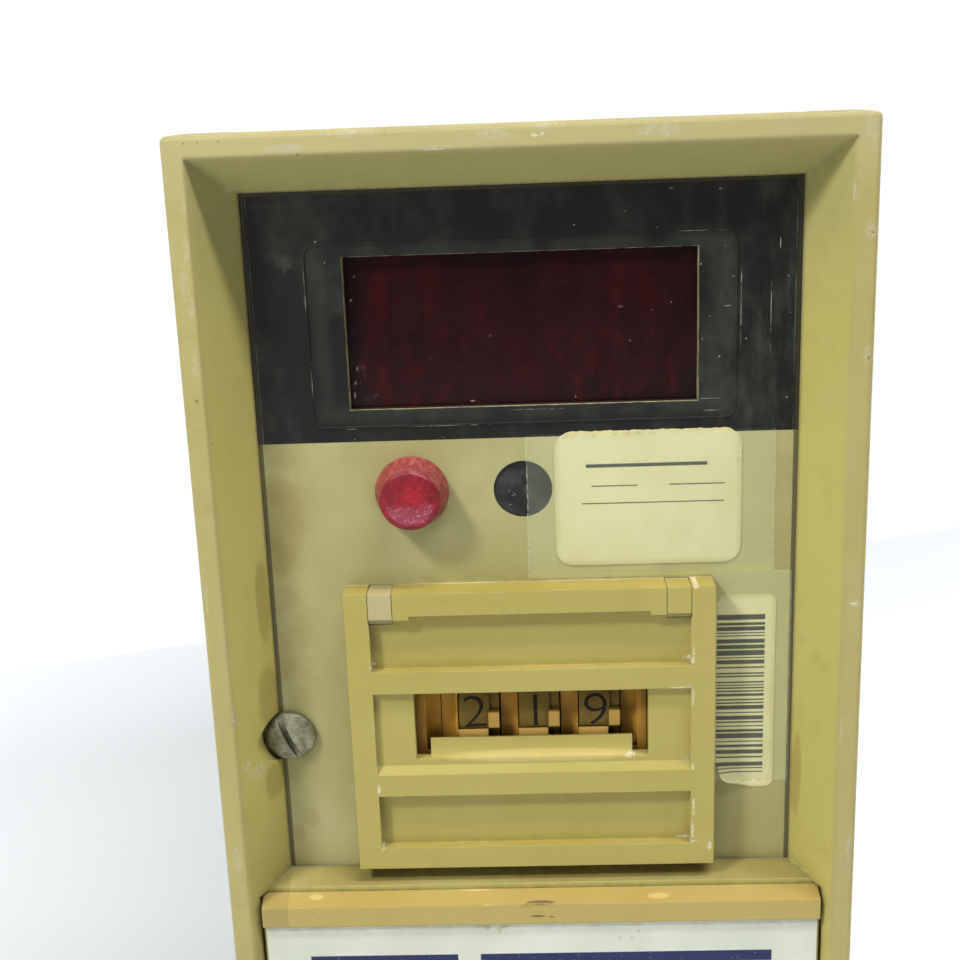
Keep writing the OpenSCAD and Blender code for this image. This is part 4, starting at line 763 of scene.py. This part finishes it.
# The clips' lower ends stand this far below the frame's top; a black line of painted shadow runs
# under them
CLIP_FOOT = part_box("frame_clip_left")[1].z / MM - 5.65
FINISHES = {
    "bezel_moulding": moulding("bezel_moulding_worn", *BEZEL_TONES, chips=0.35, radius=0.9),
    "faded_moulding": moulding("faded_moulding_clip", *CLIP_TONES, chips=0.4, dirt_and_shade=0.3,
                               foot_at=CLIP_FOOT),
    "case_steel": enamel("case_steel_enamel", (150, 152, 144), (164, 166, 156)),
    "zinc_plate": plated("zinc_plate_sheet", (192, 192, 182), (160, 160, 148),
                         (90, 86, 70), 0.32, lay=(1, 0.08, 1)),
    "screw_steel": screw_metal(),
    "terminal_brass": plated("terminal_brass_tinned", (206, 192, 146), (170, 152, 104),
                             (92, 76, 44), 0.30),
    "black_moulding": plastic("black_moulding_satin", (40, 39, 38), (54, 52, 50)),
    "connector_green": plastic("connector_green_satin", (42, 88, 62), (54, 100, 72)),
    "panel_ivory": ivory_panel(),
    "face_print": printed_film(),
    "filter_red": red_filter(),
    "digit_face": digit_block(),
    "lens_red": red_lens(),
    "bulb_glass": bulb_glass(),
    "smoked_window": smoked_window(),
    "wheel_tan": wheel_plastic(),
    "switch_brown": switch_plastic(),
    "circuit_board": circuit_board(),
    "card_white": card_paper(),
    "chip_black": plastic("chip_black_epoxy", (44, 44, 45), (58, 57, 56), 0.5),
    "core_steel": laminations(),
    "coil_tape": plastic("coil_tape_wrap", (206, 176, 84), (184, 150, 62), 0.3),
    "relay_case": plastic("relay_case_clear", (206, 206, 200), (190, 190, 180), 0.2),
    "can_blue": plastic("can_blue_sleeve", (44, 74, 140), (58, 88, 150), 0.3),
    "black_anodised": plastic("black_anodised_fins", (48, 48, 50), (60, 60, 60), 0.36),
}
for node in nodes.values():
    for slot in node.material_slots:
        slot.material = FINISHES[slot.material.name]
# Mouldings whose marks or tones are their own
OWN_FINISHES = {
    "thumbwheel_frame": moulding("frame_moulding", *FRAME_TONES, dirt_and_shade=0.25, radius=0.2,
                                 marks=FRAME_MARKS, scuffs_and_highlights=FRAME_RAMP),
    "frame_clip_right": moulding("clip_moulding", *FRAME_TONES, dirt_and_shade=0.25, radius=0.2,
                                 foot_at=CLIP_FOOT),
    "door": moulding("door_moulding", *DOOR_TONES, chips=0.2, dirt_and_shade=0.3, scuffs_and_highlights=LIP_MARKS,
                     dirty=LIP_DIRT),
}
for name, finish in OWN_FINISHES.items():
    nodes[name].material_slots[0].material = finish


# New pieces ---------------------------------------------------------------------------------------

def deselect():
    bpy.ops.object.select_all(action="DESELECT")


def select(*pieces):
    """Selects these pieces only, and makes the first one active."""
    deselect()
    for piece in pieces:
        piece.select_set(True)
    bpy.context.view_layer.objects.active = pieces[0]


def settle(piece, name, material, body):
    """Names a finished piece, puts its place into its mesh, and sets finish, body and slot."""
    select(piece)
    bpy.ops.object.transform_apply(location=True, rotation=True, scale=True)
    piece.name = piece.data.name = name
    piece.data.materials.clear()
    piece.data.materials.append(material)
    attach(piece, body)


def join(parts):
    """Several meshes as one piece."""
    select(*parts)
    bpy.ops.object.join()
    return bpy.context.object


def flat_digit(value, height):
    """A printed digit as a thin mesh across X and Y, cut into strips so that it can bend."""
    deselect()
    bpy.ops.object.text_add()
    text = bpy.context.object
    text.data.body = str(value)
    text.data.align_x = "CENTER"
    text.data.extrude = 0.02
    text.data.offset = -0.016
    text.data.resolution_u = 6
    bpy.ops.object.convert(target="MESH")
    digit = bpy.context.object
    low, high = (f(v.co.y for v in digit.data.vertices) for f in (min, max))
    size = height / (high - low)
    bpy.ops.object.mode_set(mode="EDIT")
    strips = 12
    for i in range(1, strips):
        bpy.ops.mesh.select_all(action="SELECT")
        bpy.ops.mesh.bisect(plane_co=(0, low + (high - low) * i / strips, 0), plane_no=(0, 1, 0))
    bpy.ops.object.mode_set(mode="OBJECT")
    wide = 1.12
    for v in digit.data.vertices:
        v.co = Vector((v.co.x * size * wide, (v.co.y - (low + high) / 2) * size, v.co.z))
    return digit


def wrap_on_drum(digit, angle):
    """Bends a flat digit round a drum on the X axis, its foot towards lower angles."""
    for v in digit.data.vertices:
        turn = angle + v.co.y / DRUM_R
        reach = DRUM_R + (0.03 if v.co.z > 0 else -0.06)
        v.co = Vector((v.co.x, -reach * math.cos(turn), reach * math.sin(turn)))


def wheel_digits():
    """The print on the wheels: ten digits that count down going up, copied for each wheel."""
    glyphs = []
    for value in range(10):
        glyph = flat_digit(value, DIGIT_H)
        wrap_on_drum(glyph, -value * DIGIT_STEP)
        glyphs.append(glyph)
    ring = join(glyphs)
    finish = ink()
    for name, (x, shown) in WHEELS.items():
        digits = ring.copy()
        digits.data = ring.data.copy()
        bpy.context.collection.objects.link(digits)
        turn = Matrix.Rotation(-shown * DIGIT_STEP, 4, "X")
        place = Matrix.Translation(Vector((x, *WHEEL_AXIS)))
        digits.data.transform(Matrix.Scale(MM, 4) @ place @ turn)
        settle(digits, f"digits_{name}", finish, f"wheel_{name}")
    bpy.data.objects.remove(ring)


wheel_digits()


def paper_sheet(box, corner, cuts):
    """A flat sheet across Y with rounded corners, cut into a fine grid, in millimetres."""
    left, right, bottom, top = box
    deselect()
    bpy.ops.mesh.primitive_grid_add(x_subdivisions=cuts[0], y_subdivisions=cuts[1], size=1,
                                    rotation=(math.pi / 2, 0, 0))
    sheet = bpy.context.object
    bpy.ops.object.transform_apply(rotation=True)
    w, h = (right - left) / 2, (top - bottom) / 2
    for v in sheet.data.vertices:
        across, up = v.co.x * 2 * w, v.co.z * 2 * h
        inner_w, inner_h = w - corner, h - corner
        over_x, over_z = abs(across) - inner_w, abs(up) - inner_h
        if over_x > 0 and over_z > 0:
            share = max(over_x, over_z) / math.hypot(over_x, over_z)
            across = math.copysign(inner_w + over_x * share, across)
            up = math.copysign(inner_h + over_z * share, up)
        v.co = Vector(((left + right) / 2 + across, 0, (bottom + top) / 2 + up))
    return sheet


def thicken(sheet, thickness):
    """Scales a finished sheet to metres and gives it its thickness towards the panel."""
    for v in sheet.data.vertices:
        v.co *= MM
    select(sheet)
    solid = sheet.modifiers.new("thickness", "SOLIDIFY")
    solid.thickness = thickness * MM
    solid.offset = 0.0
    bpy.ops.object.modifier_apply(modifier=solid.name)
    return sheet


def ripple(x, z, seed):
    """A smooth wander between -1 and 1 for torn and curled edges."""
    return (math.sin(x * 1.3 + seed) + math.sin(x * 2.9 + z * 0.7 + seed * 2.1)
            + math.sin(z * 2.3 + seed * 0.7)) / 3


def label_paper(name, plain, dull, rules, box, creased):
    """Yellowed label paper, dirty round its box, with plain printed bars, each with its box."""
    f = Finish(name)
    fibre = f.noise(0.3, 4, 0.7)
    cloud = f.noise(9, 4)
    f.colour = f.mix(cloud.rise(0.3, 0.75), plain, dull)
    f.paint(fibre.rise(0.5, 0.8) * 0.12, (196, 184, 120))
    edge = (box_distance(f, box) + (f.noise(1.6, 4, 0.65) - 0.5) * 1.6).rise(-1.2, -0.1)
    f.paint(edge * 0.4, (196, 178, 108))
    printed = strongest(f.x.between(left, right, 0.05) * f.z.between(bottom, top, 0.05)
                        for left, right, bottom, top in rules)
    printed = printed * f.noise(0.4, 3, 0.7, shift=3).fall(0.66, 0.82)
    folds = f.spots(creased, 0.5, 2.0)
    crumpled = f.noise(1.6, 5, 0.75, (0.6, 1, 1), 21).rise(0.46, 0.6) * folds
    f.paint(crumpled * 0.5, (236, 230, 190))
    brown = f.noise(1.2, 4, 0.7, shift=26).rise(0.5, 0.6) * folds
    f.paint(brown * 0.35, (168, 146, 84))
    f.paint(printed, (66, 68, 58))
    return f.shade(rough=0.5 + fibre * 0.15, specular=0.35,
                   normal=f.relief(fibre * 0.25 + cloud * 0.4, 0.05))


def calibration_label():
    """The upper label: rounded corners, a torn top edge, one bar and three thin rules."""
    sheet = paper_sheet(UPPER_LABEL, 3.0, (63, 47))
    for v in sheet.data.vertices:
        over = max(0.0, v.co.z - (UPPER_LABEL[3] - 1.2))
        tear = 0.14 * ripple(v.co.x, 0, 3) + 0.05 * math.sin(v.co.x * 5.1)
        v.co.z += tear * over / 1.2
        lift = 0.06 * over / 1.2 * max(0.0, math.sin(v.co.x * 0.7 + 1))
        v.co.y = FACE_Y - 0.09 - 0.03 * ripple(v.co.x * 0.3, v.co.z * 0.3, 1) - lift
    rules = [(9.7, 29.8, 36.0, 36.6), (10.6, 18.3, 32.7, 32.9), (23.5, 32.7, 32.7, 32.9),
             (9.0, 32.6, 29.7, 29.9)]
    creased = [(9.0, 41.4, 4.0, 0.9), (18.0, 41.6, 4.0, 0.5), (35.0, 38.0, 0.5, 3.0)]
    paper = label_paper("label_paper_upper", (232, 229, 178), (225, 219, 162), rules,
                        UPPER_LABEL, creased)
    settle(thicken(sheet, PAPER), "calibration_label", paper, "housing")


def bar_label():
    """The lower label: plain upright bars of mixed width, and one corner that has lifted."""
    left, _, bottom, top = LOWER_LABEL
    sheet = paper_sheet(LOWER_LABEL, 1.4, (25, 73))
    for v in sheet.data.vertices:
        corner = max(0.0, 1 - ((v.co.x - left) + (v.co.z - bottom)) / 7)
        v.co.x += corner * 1.6
        v.co.z += corner * 1.4
        top_corner = max(0.0, 1 - ((v.co.x - left) + (top - v.co.z)) / 3)
        v.co.x += top_corner * 1.0
        v.co.y = FACE_Y - 0.09 - 0.9 * corner ** 1.5 - 0.03 * ripple(v.co.x, v.co.z * 0.3, 2)
    widths = random.Random(5)
    rules, z = [], 9.4
    while z > -20.4:
        height = widths.choice((0.22, 0.3, 0.5, 0.75, 0.95))
        rules.append((31.6, 39.8, z - height, z))
        z -= height + widths.choice((0.25, 0.3, 0.5, 0.8))
    creased = [(32.3, 12.0, 1.2, 1.2), (36.5, -22.0, 4.5, 0.9)]
    paper = label_paper("label_paper_lower", (232, 228, 174), (224, 218, 158), rules,
                        LOWER_LABEL, creased)
    settle(thicken(sheet, PAPER), "bar_label", paper, "housing")


def clear_tape(name, box, dusty_left, dusty_right):
    """Clear tape gone a little yellow: dust sits along its edges and in its creases."""
    f = Finish(name)
    cloud = f.noise(6, 4)
    below = f.z.fall(BLACK_BOTTOM - 0.2, BLACK_BOTTOM + 0.2)
    edge = box_distance(f, box).rise(-0.35, -0.08) * below
    broken = f.noise(0.45, 4, 0.7, shift=4).rise(0.48, 0.58)
    side = (f.x.fall(box[0] + 0.1, box[0] + 0.35) * dusty_left
            + f.x.rise(box[1] - 0.3, box[1] - 0.1) * dusty_right)
    dust = (edge * 0.15 + side * 0.6).least(1.0) * broken
    f.colour = f.mix(dust, (184, 192, 168), (206, 204, 184))
    alpha = ((0.04 + cloud * 0.03) * below + 0.02 + dust * 0.5).least(1.0)
    return f.shade(rough=0.3 + dust * 0.5 + cloud * 0.1, alpha=alpha, specular=0.3,
                   normal=f.relief(cloud * 0.1 + dust * 0.3, 0.05))


def along(points, x):
    """The height at x of a line through points."""
    for (x0, z0), (x1, z1) in zip(points, points[1:]):
        if x <= x1:
            return z0 + (z1 - z0) * max(0.0, x - x0) / (x1 - x0)
    return points[-1][1]


# How far the upper tape's lower edge stands above its lowest line: a torn step, then a slant
TAPE_EDGE = [(-0.2, 0.0), (14.0, 0.0), (14.5, 1.5), (20.2, 1.5), (22.3, 0.2), (36.6, 1.7),
             (41.0, 1.9)]


def upper_tape():
    """Tape over the upper label; its lower edge has come away from the panel."""
    sheet = paper_sheet(UPPER_TAPE, 0.3, (121, 53))
    for v in sheet.data.vertices:
        low = max(0.0, 1 - (v.co.z - UPPER_TAPE[2]) / 3)
        v.co.z += low * (along(TAPE_EDGE, v.co.x) + 0.05 * ripple(v.co.x, 0, 5))
        curl = math.exp(-((v.co.x - 18) / 3.5) ** 2)
        v.co.y = (FACE_Y - 0.26 - 0.03 * ripple(v.co.x * 0.4, v.co.z * 0.4, 4)
                  - 0.7 * curl * low ** 2)
    finish = clear_tape("tape_clear_upper", UPPER_TAPE, 1.0, 0.35)
    settle(thicken(sheet, TAPE), "upper_tape", finish, "housing")


def lower_tape():
    """Tape over the lower label, up against the frame and the bezel's slope."""
    left, _, bottom, _ = LOWER_TAPE
    sheet = paper_sheet(LOWER_TAPE, 0.3, (27, 79))
    for v in sheet.data.vertices:
        low = max(0.0, 1 - (v.co.z - bottom) / 4)
        v.co.z += low * 0.35 * ripple(v.co.x * 1.5, 0, 2)
        near_corner = max(0.0, 1 - ((v.co.x - left) + (v.co.z - bottom)) / 8)
        v.co.y = (FACE_Y - 0.32 - 0.05 * ripple(v.co.x * 0.5, v.co.z * 0.4, 7)
                  - 0.9 * near_corner ** 1.5)
    finish = clear_tape("tape_clear_lower", LOWER_TAPE, 0.1, 1.0)
    settle(thicken(sheet, TAPE), "lower_tape", finish, "housing")


calibration_label()
bar_label()
upper_tape()
lower_tape()


# Camera, light and stage --------------------------------------------------------------------------

# Where the photo was taken from, in metres and degrees
EYE = (0.000244, -0.2290, 0.09643)
EYE_TURN = (74.5846, 2.0428, 1.5180)
bpy.ops.object.camera_add(location=EYE, rotation=[math.radians(a) for a in EYE_TURN])
camera = bpy.context.object
camera.name = "camera"
camera.data.sensor_width = 36.0
camera.data.lens = 52.5
camera.data.clip_start = 0.01
bpy.context.scene.camera = camera


def soft_light(name, place, target, size, power):
    """An area light that faces a target; its size is its width and its height."""
    bpy.ops.object.light_add(type="AREA", location=place)
    lamp = bpy.context.object
    lamp.name = name
    lamp.data.shape = "RECTANGLE"
    lamp.data.size, lamp.data.size_y = size
    lamp.data.energy = power
    lamp.rotation_euler = (Vector(target) - Vector(place)).to_track_quat("-Z", "Y").to_euler()


# Name, place, target, width and height in metres, power in watts
soft_light("key_light", (-0.44, -0.39, 0.62), (0.0, 0.0, 0.0), (0.12, 0.12), 4.9)
soft_light("fill_light", (-0.55, -0.80, 0.30), (0.0, 0.0, 0.0), (0.60, 0.50), 1.9)
soft_light("top_light", (0.32, -0.21, 0.78), (0.32, 0.0, 0.0), (0.70, 0.07), 6.6)
soft_light("side_light", (0.50, 0.12, 0.60), (0.1, 0.05, -0.05), (0.40, 0.40), 3.4)

world = bpy.data.worlds.new("soft_sky")
bpy.context.scene.world = world
world.use_nodes = True
sky = world.node_tree.nodes["Background"]
sky.inputs["Color"].default_value = (0.96, 0.98, 1.0, 1.0)
sky.inputs["Strength"].default_value = 0.075
bpy.context.scene.view_settings.view_transform = "Standard"


def stage_sheet(name, corners):
    """A flat four-cornered sheet of the stage."""
    deselect()
    bpy.ops.mesh.primitive_plane_add(size=1)
    sheet = bpy.context.object
    sheet.name = name
    for v, corner in zip(sheet.data.vertices, corners):
        v.co = corner
    return sheet


def stage():
    """Pale table, greyer in front, and a pale wall far enough back for a look from behind."""
    foot = -0.092                        # the bezel's lower edge
    slant = 7.0 / 165.0                  # the table rises towards the back
    table_end = [Vector((-1.6, -0.268, 0)), Vector((1.6, 0.783, 0))]
    front = [Vector((-1.6, -1.6, 0)), Vector((1.6, -1.6, 0))]
    away = Vector((-0.35, 1.06, 0))
    table = stage_sheet("stage_table", [corner + Vector((0, 0, foot + corner.y * slant))
                                        for corner in front + table_end])
    wall = stage_sheet("stage_wall", [corner * 2 + away + Vector((0, 0, up))
                                      for up in (-1.6, 2.4) for corner in table_end])
    f = Finish("stage_table")
    mottle = f.noise(120, 3)
    f.colour = f.mix(f.y.rise(-120, 30), (186, 189, 191), (230, 233, 235))
    f.paint(mottle * 0.2, (206, 208, 209))
    table.data.materials.append(f.shade(rough=0.75 + mottle * 0.1))
    f = Finish("stage_wall")
    f.colour = (200, 201, 202)
    wall.data.materials.append(f.shade(rough=0.9, specular=0.0, glow=tone((247, 248, 249)),
                                       glow_strength=0.95))


stage()
